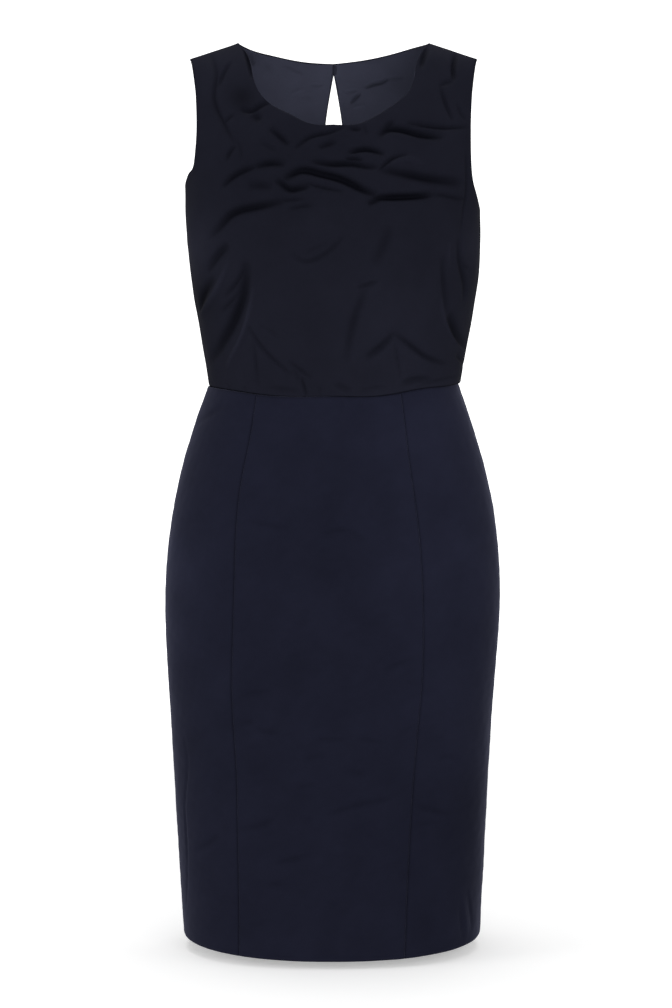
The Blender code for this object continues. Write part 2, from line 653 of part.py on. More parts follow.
def add_rod(name, radius, length, place, sides=16):
    """Cylinder along X."""
    bpy.ops.mesh.primitive_cylinder_add(vertices=sides, radius=radius, depth=length, location=place,
                                        rotation=(0, math.pi / 2, 0))
    rod = bpy.context.object
    rod.name = name
    rod.data.name = name
    return rod


def np_scale(size):
    return Matrix.Diagonal((*size, 1))


def move_to(collection, piece):
    for old in piece.users_collection:
        old.objects.unlink(piece)
    collection.objects.link(piece)


def combine(base, helpers, operation, tools):
    """Joins helper shapes to the base, or cuts them from it, with Boolean modifiers."""
    for helper in helpers:
        change = base.modifiers.new(helper.name, "BOOLEAN")
        change.operation = operation
        change.object = helper
        helper.hide_render = True
        helper.display_type = "WIRE"
        move_to(tools, helper)


def bar_place():
    """Centre of the slider's bar and the lean of the cloth below it."""
    root = math.sqrt(SHOULDER_TOP - SLIDER_HEIGHT)
    lower = SLIDER_HEIGHT - TAB_NECK - TAB_PLATE[2]
    here = float(BODICE["back"](root))
    there = float(BODICE["back"](math.sqrt(SHOULDER_TOP - lower)))
    lean = math.atan2(there - here, SLIDER_HEIGHT - lower)
    return (0.0, here + BAR_OUT, SLIDER_HEIGHT), lean


def build_zip_slider(collection, tools, material):
    (x, y, z), _ = bar_place()
    cloth_inside = y - BAR_OUT - CLOTH - TAPE_THICKNESS - 2 * SEAM_GAP
    width, depth, height = SLIDER_SIZE
    body = add_box("zip_slider", SLIDER_SIZE, (x, cloth_inside - SEAM_GAP - depth / 2, z - height / 4))
    ear_thickness, ear_height = EAR_SIZE
    ear_tip = y + 2 * BAR_RADIUS
    ear_root = cloth_inside - SEAM_GAP - depth / 2
    ear_middle = TAB_EYE[0] + SEAM_GAP + ear_thickness / 2
    ears = [add_box("zip_ear_" + name, (ear_thickness, ear_tip - ear_root, ear_height),
                    (x + side * ear_middle, (ear_tip + ear_root) / 2, z))
            for side, name in ((-1, "left"), (1, "right"))]
    bar = add_rod("zip_bar", BAR_RADIUS, 2 * ear_middle, (x, y, z))
    combine(body, ears + [bar], "UNION", tools)
    body.data.materials.append(material)
    move_to(collection, body)


def build_zip_pull(collection, tools, material):
    """Pull tab with its origin on the bar. It hangs down and rests against the cloth."""
    place, lean = bar_place()
    half_width, radius = TAB_EYE
    eye = add_rod("zip_pull", radius, 2 * half_width, place)
    neck = add_box("zip_pull_neck", (1.6 * half_width, 0.8 * TAB_PLATE[1], TAB_NECK), place)
    neck.data.transform(Matrix.Translation((0, 0, -TAB_NECK / 2 - radius * 0.7)))
    plate = add_box("zip_pull_plate", TAB_PLATE, place)
    plate.data.transform(Matrix.Translation((0, 0, -TAB_NECK - TAB_PLATE[2] / 2)))
    corners = plate.modifiers.new("corners", "BEVEL")
    corners.width = TAB_PLATE[1] * 0.45
    corners.segments = 2
    for shape in (neck, plate):
        shape.rotation_euler = (lean, 0, 0)
    hole = add_rod("zip_pull_hole", BAR_RADIUS + SEAM_GAP, 4 * half_width, place)
    combine(eye, (neck, plate), "UNION", tools)
    combine(eye, (hole,), "DIFFERENCE", tools)
    eye.data.materials.append(material)
    move_to(collection, eye)


def back_frame(x, z):
    """Point on the upper back's outer face and its outward normal."""
    step = 0.002
    here, right, up = (on_form(BODICE, 1, *place_of(BODICE, x + dx, z + dz))
                       for dx, dz in ((0, 0), (step, 0), (0, step)))
    normal = np.cross(up - here, right - here)
    return here, normal / np.linalg.norm(normal)


def build_neck_button(collection, material):
    here, normal = back_frame(*BUTTON_PLACE)
    place = here + normal * (BUTTON_THICKNESS / 2 + SEAM_GAP)
    bpy.ops.mesh.primitive_uv_sphere_add(segments=18, ring_count=9, radius=BUTTON_RADIUS, location=place)
    button = bpy.context.object
    button.name = "neck_button"
    button.data.transform(np_scale((1, 1, BUTTON_THICKNESS / (2 * BUTTON_RADIUS))))
    button.rotation_euler = Vector(normal).to_track_quat("Z", "Y").to_euler()
    button.data.shade_smooth()
    button.data.materials.append(material)
    move_to(collection, button)


def build_neck_loop(collection, material):
    """Cord loop from the left back round the button."""
    x, z = BUTTON_PLACE
    turn = [math.radians(angle) for angle in range(-110, 111, 20)]
    route = [(x + LOOP_RADIUS * math.cos(a), z + LOOP_RADIUS * math.sin(a)) for a in turn]
    spread = LOOP_RADIUS * 0.55
    middle = (LOOP_ROOT + route[0][0]) / 2
    start = [(LOOP_ROOT, z - spread), (middle, z - LOOP_RADIUS * 0.8)]
    end = [(px, 2 * z - pz) for px, pz in start[::-1]]
    curve = bpy.data.curves.new("neck_loop", "CURVE")
    curve.dimensions = "3D"
    curve.bevel_depth = LOOP_CORD
    curve.bevel_resolution = 2
    curve.use_fill_caps = True
    points = start + route + end
    spline = curve.splines.new("POLY")
    spline.points.add(len(points) - 1)
    for point, (px, pz) in zip(spline.points, points):
        here, normal = back_frame(px, pz)
        point.co = (*(here + normal * (LOOP_CORD + SEAM_GAP)), 1)
    loop = bpy.data.objects.new("neck_loop", curve)
    curve.materials.append(material)
    collection.objects.link(loop)


# ---------------------------------------------------------------- main
def main():
    collection = clear_scene()
    tools = bpy.data.collections.new("joining_shapes")
    bpy.context.scene.collection.children.link(tools)
    satin = make_material("satin", SATIN_COLOUR, 0.42, sheen=0.3)
    twill = make_material("twill", TWILL_COLOUR, 0.75, sheen=0.3)
    tape = make_material("zip_tape", TAPE_COLOUR, 0.8)
    enamel = make_material("zip_enamel", METAL_COLOUR, 0.35, metallic=0.6)
    bodice_front(collection, satin)
    bodice_backs = [bodice_back_points(side) for side in (-1, 1)]
    for points, name in zip(bodice_backs, ("bodice_back_left", "bodice_back_right")):
        grid_piece(collection, name, points, satin)
    skirt_backs = build_skirt(collection, twill)
    build_zip_tapes(collection, tape, bodice_backs, skirt_backs)
    build_zip_slider(collection, tools, enamel)
    build_zip_pull(collection, tools, enamel)
    build_neck_button(collection, satin)
    build_neck_loop(collection, satin)


main()
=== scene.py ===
"""Visual model of a sleeveless pencil dress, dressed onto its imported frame.

Metres, +Z up, front towards -Y. The cloth follows the same form of rings as the frame, on
finer grids, with its folds, seams, darts, stitches and weave.
"""
from collections import namedtuple
import math

import bpy
import bmesh
import numpy as np
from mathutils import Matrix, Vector
from numpy.linalg import norm


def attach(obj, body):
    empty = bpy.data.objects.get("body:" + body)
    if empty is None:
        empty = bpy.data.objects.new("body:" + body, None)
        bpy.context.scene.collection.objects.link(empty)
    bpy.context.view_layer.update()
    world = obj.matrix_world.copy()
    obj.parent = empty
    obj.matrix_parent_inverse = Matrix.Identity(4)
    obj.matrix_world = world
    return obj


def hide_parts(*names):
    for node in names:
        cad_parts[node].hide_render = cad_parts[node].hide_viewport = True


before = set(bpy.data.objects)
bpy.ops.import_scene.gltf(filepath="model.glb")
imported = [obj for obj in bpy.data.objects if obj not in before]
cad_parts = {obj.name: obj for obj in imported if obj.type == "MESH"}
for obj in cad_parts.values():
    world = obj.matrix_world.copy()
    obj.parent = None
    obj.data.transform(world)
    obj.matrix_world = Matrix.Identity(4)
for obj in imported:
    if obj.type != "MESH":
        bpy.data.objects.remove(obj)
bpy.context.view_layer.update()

# ------------ sizes of the form
# In tables by side the left is -1 and the right +1, and by face the front is -1 and the back +1.
SIDES = ((-1, "left"), (1, "right"))
CLOTH = 0.0014  # wall thickness of the cloth
SEAM_GAP = -0.0002  # sewn panels meet below the surface, with this much overlap
CLEARANCE = 0.0003  # between cloth that only lies on other cloth
SHOULDER_TOP = 0.0382
SHOULDER_SLOPE = 0.334
SLOPE_EASE = 0.020  # how far from the centre line the slope sets in
SLOPE_FADE = 0.150  # and how far below the origin it has died out
SHOULDER_TIP = 0.1602
NECK_POINT = 0.1056
UNDERARM = {-1: -0.156, 1: -0.179}
SIDE_ANGLE = {-1: math.pi, 1: 0.0}  # of the side seams on the form
WAIST_HEIGHT = -0.3695
WAIST_DIP = 0.0090
WAIST_TILT = 0.0022
HEM_HEIGHT = -0.9914
HEM_DIP = 0.0087
VENT_TOP = -0.800
VENT_EASE = 0.006  # width over which its right edge sinks under the left one
LAP_WIDTH = 0.040  # of its underlap
KEYHOLE_TOP = -0.0205
KEYHOLE_BOTTOM = -0.1200
KEYHOLE_HALF = 0.0118
KEYHOLE_SHAPE = (0.95, 3.2, 0.655)  # powers of its rise and its fall, and what they peak at
HEM_TURN = 0.035  # cloth turned up inside the hem
SEAM_ALLOWANCE = 0.012
FLOOR = -1.0090

# ------------ grids and relief
BODICE_FRONT_GRID = (228, 200)  # columns across, rows up
BODICE_BACK_COLUMNS = 132
BODICE_BACK_ROWS = (140, 110)  # below and beside the keyhole
SHOULDER_SHARE = {-1: 0.24, 1: 0.34}  # of a half's columns, on the shoulder seam, by face
SKIRT_ROWS = 210
SKIRT_FRONT_COLUMNS = (46, 88, 50)  # left side front, centre front, right side front
SKIRT_BACK_COLUMNS = 84
EDGE_HOLD = 6  # how fast the bodice grids let go of the shape of their side edges
LIPS = (0.0026, 0.0013, 0.0005)  # narrow rows beside every edge, for its rolled shape
LIP_MOST = 0.8  # of a cell that a lip may take
LEVEL_ROUNDS = 40  # rounds that settle the level of a point on the sloped shoulders
EDGE_ROUNDS = 4  # and the edges of a skirt panel
PATH_POINTS = 400  # points at which a path is measured
PATCH_STEPS = 240  # and steps in a column of a bodice grid
ROLL_DEPTH = 0.0009  # how far a seam edge turns in
ROLL_PROFILE = (1.0, 0.50, 0.14, 0.03)  # shares of it in the rows from the edge inwards
SEAM_PAINTED_SHADE = 3.6  # painted shade in a seam edge's groove, as millimetres of fold
# shares of the seam's painted shade in the rows from the edge inwards
SEAM_PAINTED_SHADE_SHARES = (1.0, 0.95, 0.70, 0.30)
DOUBLED_SEAM_PAINTED_SHADE = 1.6  # and the painted shade along the line that doubles the waist seam
EDGE_FADE = (0.0, 0.15, 0.35, 0.60, 0.85)  # shares of the folds in the rows from the edge
FOLD_STEPS = 24  # steps in which a fold's path is followed
FOLD_REACH = (2.6, 4.5)  # half widths beyond which a soft or a crisp fold is nothing
FOLD_CROSSING = 0.25  # share of the shallower trough that adds to the deeper one
BODICE_RIPPLE = 0.0004  # depth of the fine unevenness of the satin
SKIRT_RIPPLES = (0.0003, 0.00012)  # and of the twill's, broad and fine

# ------------ sewing and the zip
STITCH = (0.0024, 0.0034, 0.00022)  # length, pitch and radius
STITCH_PROFILE = ((-0.34, 0.85), (0.0, 1.0), (0.34, 0.85))  # share of the length, of the radius
STITCH_COLUMN = 3  # column of a bodice back that the keyhole's stitches follow
TACK = (0.0062, 0.0011, 0.00036)  # the same for the bar tacks
TACK_PLACES = ((0.0010, -0.0148, 9, -1), (0.0010, -0.1206, 3, 1))  # across, up, count, face
ZIP_BOTTOM = -0.5600
TAPE_THICKNESS = 0.0009
TOOTH = (0.0042, 0.0011, 0.0009)  # width, depth and height
TOOTH_PROFILE = ((0.62, -0.5), (1.0, -0.2), (1.0, 0.2), (0.62, 0.5))  # share of width, of height
TOOTH_PITCH = 0.0015
TOOTH_STAGGER = 0.12  # of its width, to either side by turns
SLIDER_FOOT = -0.1235  # the first tooth below the slider
ZIP_STOP = (0.0060, 0.0018, 0.0026)

# ------------ colours, light and camera
SATIN_COLOUR = (0.0111, 0.0115, 0.0186)
ENAMEL_COLOUR = (0.0200, 0.0220, 0.0300)
# Cloths: whether it is on a grid, colour, roughness, specular level, weight, roughness and tint
# of the sheen, then pitch, turn in degrees and depth of the ribs.
CLOTHS = {
    "satin_out": (True, SATIN_COLOUR, 0.62, 0.02, 0.0, 0.35, (0.75, 0.75, 0.9), 0.0004, 0, 0.00006),
    "satin_in": (True, (0.0535, 0.0562, 0.0850), 0.7, 0.1, 0.05, 0.5, (0.7, 0.75, 0.9),
                 0.0004, 0, 0.00006),
    "twill_out": (True, (0.0108, 0.0116, 0.0224), 0.8, 0.04, 0.16, 0.4, (0.6, 0.62, 0.9),
                  0.0007, 63, 0.00012),
    "twill_in": (True, (0.0120, 0.0135, 0.0250), 0.8, 0.12, 0.1, 0.5, (0.7, 0.75, 0.9),
                 0.0007, 63, 0.00012),
    "satin_cover": (False, SATIN_COLOUR, 0.45, 0.3, 0.05, 0.35, (0.75, 0.75, 0.9),
                    0.0004, 0, 0.00006),
    "zip_tape_cloth": (False, (0.0110, 0.0120, 0.0190), 0.8, 0.15, 0.1, 0.5, (0.6, 0.65, 0.8),
                       0.0006, 0, 0.00006),
    "sewing_thread": (False, (0.0085, 0.0090, 0.0150), 0.55, 0.3, 0.05, 0.5, (0.7, 0.7, 0.8),
                      0.0002, 0, 0.00006),
}
SPECULAR_TINT = (0.60, 0.65, 1.0, 1)
YARN_SCALE = (1400.0, 260.0, 1.0)
WAVE_TURN = 6.2832  # what the wave texture divides its scale by
PAINTED_FOLD_RANGE = 4.5  # millimetres of fold at which the painted highlight and shade end
FOLD_PAINTED_HIGHLIGHT_AND_SHADE = (1.55, 0.35)  # what the colour is multiplied by: painted highlight on a ridge, painted shade in a trough

STAGE_COLOUR = (0.92, 0.92, 0.92)
STAGE_GLOW = (0.345, 1.1)  # near the dress and far from it
STAGE_FADE = (1.1, 2.4)  # distances between which it changes
WORLD_STRENGTH = 0.40
# Lights: name, place, what it faces, its two sides, power.
LIGHTS = (
    ("front_softbox", (0.7, -3.0, -0.3), (0, 0, -0.45), (2.4, 2.2), 47.0),
    ("left_strip", (-2.1, -0.8, -0.50), (0, 0, -0.50), (0.9, 1.6), 19.0),
    ("right_strip", (2.1, -0.8, 0.0), (0, 0, -0.25), (0.9, 1.0), 6.0),
    ("top_softbox", (-0.1, 0.5, 2.6), (0, 0, -1.0), (2.6, 2.0), 46.0),
    ("back_softbox", (0.0, 3.0, -0.2), (0, 0, -0.45), (0.8, 2.0), 34.0),
)
CAMERA_PLACE = (0.0026, -3.0, -0.26)
CAMERA_TARGET = (0.0026, 0.0, -0.5050)
CAMERA_LENS = 95.4

# ------------ tables of the form
def table(text):
    """Rows of numbers from text, one row a line, without the lines that are comments."""
    return [[float(word) for word in line.split()] for line in text.splitlines()
            if line and not line.startswith("#")]


# Rings of the form from the top down: level, where the centre lies across, half the width,
# depth to the front, depth to the back, and how square the oval is.
RING_COLUMNS = ("level", "centre", "half_width", "front", "back", "square")
BODICE_RINGS = table("""
0.0382 0 0.1738 0 0 3
0.024 0 0.1738 0.0318 0.037 3
-0.01 0 0.1738 0.0586 0.068 2.9
-0.05 0 0.1728 0.0793 0.0855 2.8
-0.086 0 0.1713 0.0941 0.0945 2.7
-0.12 -0.0002 0.1686 0.1062 0.1 2.6
-0.15 -0.0003 0.1654 0.1158 0.1035 2.5
-0.18 -0.001 0.1643 0.124 0.1055 2.45
-0.21 0.0002 0.1638 0.1285 0.106 2.4
-0.236 0.001 0.1618 0.1285 0.1045 2.35
-0.263 0.0013 0.1588 0.126 0.1015 2.3
-0.29 0.0014 0.1541 0.1215 0.098 2.25
-0.318 0.0012 0.1494 0.116 0.0935 2.2
-0.345 0.0012 0.1448 0.111 0.0895 2.2
-0.372 0.001 0.1405 0.107 0.0865 2.2
-0.39 0.001 0.1382 0.105 0.0855 2.2
""")
SKIRT_RINGS = table("""
-0.36 0 0.136 0.104 0.0845 2.2
-0.37 0 0.1403 0.1048 0.0852 2.2
-0.379 -0.0002 0.1432 0.1057 0.086 2.2
-0.394 -0.0003 0.1488 0.1078 0.0905 2.2
-0.423 -0.0002 0.1583 0.1105 0.1 2.2
-0.451 -0.0003 0.1669 0.113 0.1095 2.2
-0.479 -0.0005 0.1738 0.1145 0.118 2.2
-0.507 -0.0003 0.18 0.1155 0.1255 2.2
-0.536 -0.0003 0.1842 0.116 0.1315 2.2
-0.564 -0.0007 0.1871 0.1165 0.1355 2.2
-0.62 -0.0013 0.1888 0.118 0.1375 2.2
-0.677 -0.0022 0.1865 0.1195 0.1345 2.2
-0.733 -0.0029 0.1822 0.1205 0.129 2.2
-0.79 -0.0029 0.1794 0.1205 0.124 2.2
-0.846 -0.0031 0.1764 0.12 0.12 2.2
-0.903 -0.0026 0.1734 0.119 0.117 2.2
-1.001 -0.002 0.1681 0.1175 0.114 2.2
""")

# Front neck edge from the left shoulder to the right, across and up, a little uneven.
FRONT_NECK = table("""
-0.1056 0.009
-0.0933 -0.011
-0.0868 -0.037
-0.068 -0.0635
-0.0455 -0.0752
-0.03 -0.0835
0 -0.0862
0.0275 -0.085
0.0503 -0.0738
0.069 -0.0612
0.0856 -0.0418
0.0918 -0.014
0.1056 0.009
""")
# Back neck edge from the shoulder to the centre back: across, then up on the left and the right.
BACK_NECK = table("""
0.1056 0.009 0.009
0.0915 0.0038 0.0066
0.073 -0.0002 0.0024
0.0365 -0.0064 -0.0045
0 -0.0084 -0.0084
""")
# Armhole edge from the shoulder tip down: share of the drop to the underarm, then how far
# from the centre line its front edge runs on the left and on the right, and its back edge.
ARMHOLE = table("""
0 0.1602 0.1602 0.1602
0.14 0.1541 0.1541 0.1572
0.32 0.1516 0.1516 0.1552
0.54 0.1504 0.1504 0.1542
0.78 0.1529 0.1525 0.1562
0.86 0.1583 0.1561 0.1585
0.94 0.164 0.1605 0.1625
""")
# Sway of the waist seam, from the left side seam to the right: share of the half width, and up.
WAIST_SWAY = table("""
-1 0
-0.75 0
-0.5 -0.0015
-0.25 -0.0018
0.05 -0.0014
0.25 -0.0026
0.4 -0.0018
0.55 0.0002
0.7 0.0012
0.85 -0.0004
1 -0.0008
""")
# Curved panel seams of the skirt front: height, left seam and right seam across.
PANEL_SEAMS = table("""
-0.36 -0.0818 0.072
-0.43 -0.0924 0.0801
-0.47 -0.1005 0.0854
-0.52 -0.1064 0.0923
-0.57 -0.1084 0.0966
-0.63 -0.1102 0.0982
-0.69 -0.1118 0.0972
-0.735 -0.1105 0.0933
-0.785 -0.1072 0.0889
-0.84 -0.1059 0.0852
-0.9 -0.105 0.0821
-1.001 -0.1048 0.078
""")

# Folds as troughs (ridges where the depth is negative), in millimetres.
Fold = namedtuple("Fold", "depth half_width power path")


def folds(text):
    """Folds from rows of depth, half width, how crisp the bottom is (1 crisp, 2 soft), and then
    the points of the path, across and up by turns."""
    return [Fold(*row[:3], np.reshape(row[3:], (-1, 2)) / 1000) for row in table(text)]


BODICE_FOLDS = folds("""
# main drape across the chest, down to the right side
6.6 4.2 2 -54 -146 -46 -141 -36 -136 -16 -139 10 -146 34 -158 48 -163
7 3.4 2 41 -166 59 -165 83 -164 107 -162
2.5 2 1.2 103 -163 116 -162 127 -164 145 -166
3.5 3.5 2 51 -167 44 -169 37 -173
4.2 4 2 -63 -146 -56 -150 -47 -156 -35 -155 -25 -153
2.8 2 1.2 -32 -149 -15 -154 12 -159
# loop above it
4.5 3.6 2 -24 -126 2 -129 20 -129 38 -132 49 -132
3.4 2.2 2 12 -124 22 -123 32 -125
3.6 2 1.2 48 -137 57 -128 66 -122 80 -119
4.5 5 2 49 -135 69 -138 100 -144 140 -148
-1.5 3 2 61 -128 76 -123 98 -129
4.8 3 2 16 -117 35 -113 55 -119
# right chest
5.8 3.6 2 50 -100 54 -94 69 -91 91 -96 119 -99
3 3.5 2 55 -93 59 -88 64 -82
3.8 2.2 1.3 79 -84 110 -88 147 -87
2.8 3 2 17 -90 23 -91 30 -91
1.2 2 2 32 -85 34 -91 37 -98
# left chest
4 3.2 1.6 -121 -153 -106 -140 -83 -131
3.6 4.2 2 -86 -132 -68 -128 -52 -130
2.2 5 2 -93 -152 -79 -152 -65 -154
4.6 4.6 2 -136 -207 -122 -194 -112 -184 -84 -175 -53 -169
1.8 2.5 2 -61 -169 -48 -168 -31 -167
1.8 2.5 2 -47 -178 -36 -175 -22 -174
# below the neck edge
3.2 3.2 2 -102 -69 -87 -70 -81 -66 -68 -60
2.6 5 2 -87 -74 -83 -78 -79 -81
3 3.4 2 -69 -90 -57 -100 -48 -109
2.9 2.6 2 -42 -113 -23 -99 -5 -95 12 -88
2.6 3.5 2 -16 -112 -7 -108 3 -105
1 3 2 -78 -105 -69 -111 -61 -115
# straps
2.6 2.4 1.4 -137 -4 -129 -32 -131 -54 -123 -77 -107 -108
2.2 2.6 2 -113 -15 -119 -25 -127 -44
2 2.4 2 -108 -74 -115 -79 -120 -85
2.3 2.6 2 -106 -108 -112 -115 -116 -125
1 2 2 -108 -100 -102 -109 -99 -125
3.2 2.4 2 -100 3 -94 -14 -89 -34
3.2 2.8 2 104 2 99 -9 96 -22
3.8 2.6 2 136 -4 132 -20 132 -36
1.8 2.5 2 131 -36 122 -39 115 -43
2.4 2.4 2 117 -44 122 -61 130 -81
1.4 2.2 2 135 -61 140 -74 145 -80
# left side
3.8 4.6 2 -114 -215 -127 -228 -139 -244
3.4 5 2 -130 -251 -142 -267 -148 -287
-2.6 3.4 2 -114 -234 -128 -264 -149 -294
3 2.2 1.3 -95 -234 -102 -252 -119 -271
2.4 1.9 1.3 -102 -266 -111 -277 -123 -288
1.2 1.6 2 -106 -276 -111 -282 -118 -287
4.6 6 2 -94 -234 -98 -267 -107 -294 -138 -344
-3 3 2 -87 -263 -94 -298 -118 -349
# creases that run to the waist
2.4 2 1.3 -94 -302 -78 -326 -46 -356
0.8 2 2 -81 -303 -69 -308 -60 -317
1.8 1.8 2 -48 -342 -37 -350 -24 -360
2.4 1.8 2 -35 -359 -32 -368 -29 -379
1.1 1.8 2 -43 -349 -40 -357 -37 -366
1.7 2.2 2 -45 -225 -34 -233 -12 -228 11 -207
0.8 2 2 -32 -226 -19 -219 -7 -214
1.8 5.5 2 61 -195 55 -215 43 -238
2 2.2 2 26 -262 37 -259 48 -255
2.2 4.4 2 36 -261 23 -296 14 -343
3.2 4.2 2 66 -311 54 -324 35 -338
4 2.3 1.3 65 -312 85 -326 100 -337 124 -346
# right side
1.8 2.4 2 144 -112 145 -156 138 -201
3 4.6 2 136 -207 138 -233 144 -258 142 -277
1.2 1.6 2 138 -232 144 -238 151 -245
2.2 3.4 2 118 -227 120 -257 125 -292
4.4 5.4 2 125 -290 133 -309 147 -329
-2.2 2.4 2 117 -272 122 -301 146 -334
2.2 2.6 2 135 -336 140 -341 146 -350
-1 2.4 2 126 -212 125 -225 126 -242
# above the waist seam, on the right
2.6 3.6 2 73 -367 90 -362 108 -364
1.6 1.6 2 89 -370 118 -363 137 -360
# puckers above the waist seam
1.2 3 2 -71 -369 -54 -372 -36 -374
1.5 3.2 2 2 -366 11 -370 21 -374
1 2.6 2 29 -374 44 -371 59 -369
0.8 2 2 -118 -366 -115 -371 -113 -375
0.8 1.8 2 -17 -368 -15 -372 -14 -378
0.7 1.8 2 -99 -369 -97 -372 -96 -377
""")
WAIST_DARTS = folds("""
1.7 1.5 1 -86 -322 -85 -339 -82 -369
1.7 1.5 1 66 -322 69 -336 73 -364
""")
BACK_FOLDS = folds("""
2 8 2 -124 -104 -98 -122 -66 -130 -36 -129
2.2 9 2 -132 -168 -108 -184 -78 -188 -50 -182
1.4 11 2 -54 -150 -42 -200 -46 -262
2.2 8 2 126 -110 99 -131 66 -139 38 -136
2 9 2 134 -182 108 -199 76 -196 52 -186
1.9 9 2 122 -244 106 -280 96 -326
1.8 9 2 -116 -250 -102 -296 -94 -336
1.3 8 2 44 -270 30 -318 22 -362
1.1 8 2 -38 -262 -30 -312 -28 -356
1.2 10 2 -120 -214 -88 -232 -56 -236
1.1 10 2 118 -226 86 -240 58 -238
1 11 2 60 -150 44 -196 50 -240
""")
# Small creases beside the keyhole, which show inside the neck.
NECK_CREASES = folds("""
4 1.6 1.5 36 -34 44 -30 53 -28 61 -24
3.2 1.4 1.5 19 -51 24 -45 30 -40
2.6 4 2 -96 4 -94 -3 -92 -11
0.8 2.4 2 -60 -8 -47 -13 -34 -19
0.9 1.6 2 13 -40 20 -38 28 -37
-0.8 1.6 2 21 -57 28 -55 37 -54
0.9 1.8 2 -26 -30 -20 -31 -13 -30
-0.7 2 2 -48 -42 -41 -38 -35 -37
0.6 2 2 -37 -46 -32 -44 -26 -46
1 2.2 2 59 -24 68 -24 79 -23
0.6 3 2 -81 -6 -74 -12 -70 -20
""")
BACK_DARTS = folds("""
1.2 1.6 1 -72 -262 -70 -320 -68 -376
1.2 1.6 1 72 -262 70 -320 68 -376
""")
SKIRT_FRONT_FOLDS = folds("""
1.5 3.4 2 -9 -837 22 -827 66 -819
1.3 3 2 89 -827 110 -836 129 -842
0.9 2.6 2 90 -850 108 -849 118 -849
1.2 3.4 2 -102 -855 -90 -853 -66 -843
1.3 3 2 -66 -892 -48 -887 -24 -880
1.3 4 2 -155 -887 -140 -877 -125 -864
1.1 2.6 2 -103 -740 -95 -736 -85 -735
1 3 2 -87 -742 -76 -745 -58 -747
1.2 2.4 2 -17 -753 2 -753 12 -753
1.1 2.4 2 27 -753 42 -755 55 -757
0.9 3 2 -98 -706 -85 -703 -67 -700
0.9 3 2 -32 -775 -20 -772 -10 -772
0.9 3 2 -41 -808 -30 -805 -19 -802
0.8 4 2 7 -788 20 -789 35 -792
1 3 2 57 -676 68 -672 83 -668
1 3.4 2 -99 -515 -77 -518 -47 -524
1 2.6 2 -13 -529 9 -524 35 -536
0.7 2.6 2 73 -748 81 -743 89 -740
0.8 3 2 114 -777 126 -777 140 -783
1.2 4 2 -154 -415 -136 -401 -120 -393
0.8 4 2 -74 -917 -63 -915 -50 -918
0.6 3 2 -94 -961 -85 -960 -77 -960
0.8 1.6 2 9 -383 10 -388 10 -393
1.2 1.5 2 -167 -756 -163 -791 -166 -832 -164 -890 -164 -924 -167 -964
-1 2.2 2 143 -934 147 -960 150 -986
1.2 2 2 149 -932 153 -959 155 -981
1 1.8 2 140 -947 142 -971 145 -991
""")
SKIRT_BACK_FOLDS = folds("""
1.6 5 1.8 -120 -690 -82 -698 -44 -694
1.5 5 1.8 118 -704 84 -715 40 -712
1.2 4.5 1.6 -104 -742 -70 -750 -38 -748
1.2 4.5 1.6 102 -760 66 -768 32 -764
1.4 6 2 -130 -452 -96 -462 -60 -458
1.3 6 2 128 -446 98 -456 62 -452
1 4 1.6 -118 -846 -84 -852 -56 -850
""")

# Painted light on the cloth's outside (painted shade where negative), in millimetres: across, up,
# how far it reaches, and the strength as a depth of fold.
FRONT_PAINTED_LIGHT = table("""
0 -300 70 0.4
75 -300 60 2.0
-80 -300 50 0.5
-130 -10 40 0.7
-162 -220 32 4.0
-150 -276 18 -2.5
160 -220 28 1.9
0 -500 60 -0.5
80 -420 70 1.7
108 -425 55 1.8
-60 -430 90 0.5
120 -560 80 2.7
-110 -570 80 0.4
-187 -570 35 3.4
-188 -640 35 2.2
120 -720 80 1.4
176 -838 45 -1.8
174 -920 40 -1.5
-70 -130 60 -0.8
0 -115 50 -0.4
-100 -55 14 -3.0
""")

# ------------ curves and the form
def smooth_curve(knots, values):
    """Natural cubic spline through the knots, as a function that takes arrays."""
    knots = np.asarray(knots, float)
    values = np.asarray(values, float)
    steps = np.diff(knots)
    last = len(knots) - 1
    system = np.eye(last + 1)
    right = np.zeros(last + 1)
    for i in range(1, last):
        system[i, i - 1:i + 2] = (steps[i - 1], 2 * (steps[i - 1] + steps[i]), steps[i])
        rise_after = (values[i + 1] - values[i]) / steps[i]
        rise_before = (values[i] - values[i - 1]) / steps[i - 1]
        right[i] = 6 * (rise_after - rise_before)
    bend = np.linalg.solve(system, right)

    def value(at):
        at = np.asarray(at, float)
        k = np.clip(np.searchsorted(knots, at) - 1, 0, last - 1)
        step = steps[k]
        p = (knots[k + 1] - at) / step
        q = 1 - p
        curved = (p ** 3 - p) * bend[k] + (q ** 3 - q) * bend[k + 1]
        return p * values[k] + q * values[k + 1] + curved * step * step / 6

    return value


def lengths_along(points):
    """Running length of a polyline."""
    return np.concatenate([[0], np.cumsum(norm(np.diff(points, axis=0), axis=1))])


def smooth_path(points):
    """Smooth path through points in the plane, as a function of the share of its length."""
    points = np.asarray(points, float)
    lengths = lengths_along(points)
    shares = lengths / lengths[-1]
    across = smooth_curve(shares, points[:, 0])
    up = smooth_curve(shares, points[:, 1])
    return lambda share: (across(share), up(share))


def root_of(level):
    """Square root of a level's depth below the shoulder top: the form is smooth over it."""
    return np.sqrt(SHOULDER_TOP - level)


def level_of(root):
    return SHOULDER_TOP - root ** 2


def make_form(rings):
    """Each column of a ring table as a smooth function of the root."""
    columns = np.array(rings).T
    root = root_of(columns[0])
    return {name: smooth_curve(root, column) for name, column in zip(RING_COLUMNS[1:], columns[1:])}


BODICE = make_form(BODICE_RINGS)
SKIRT = make_form(SKIRT_RINGS)


def shoulder_fall(x, level):
    """How far below its ring's level a point lies, for the slope of the shoulders."""
    share = np.clip(1 + level / SLOPE_FADE, 0, 1)
    fade = share * share * (3 - 2 * share)
    return fade * SHOULDER_SLOPE * (np.sqrt(x * x + SLOPE_EASE ** 2) - SLOPE_EASE)


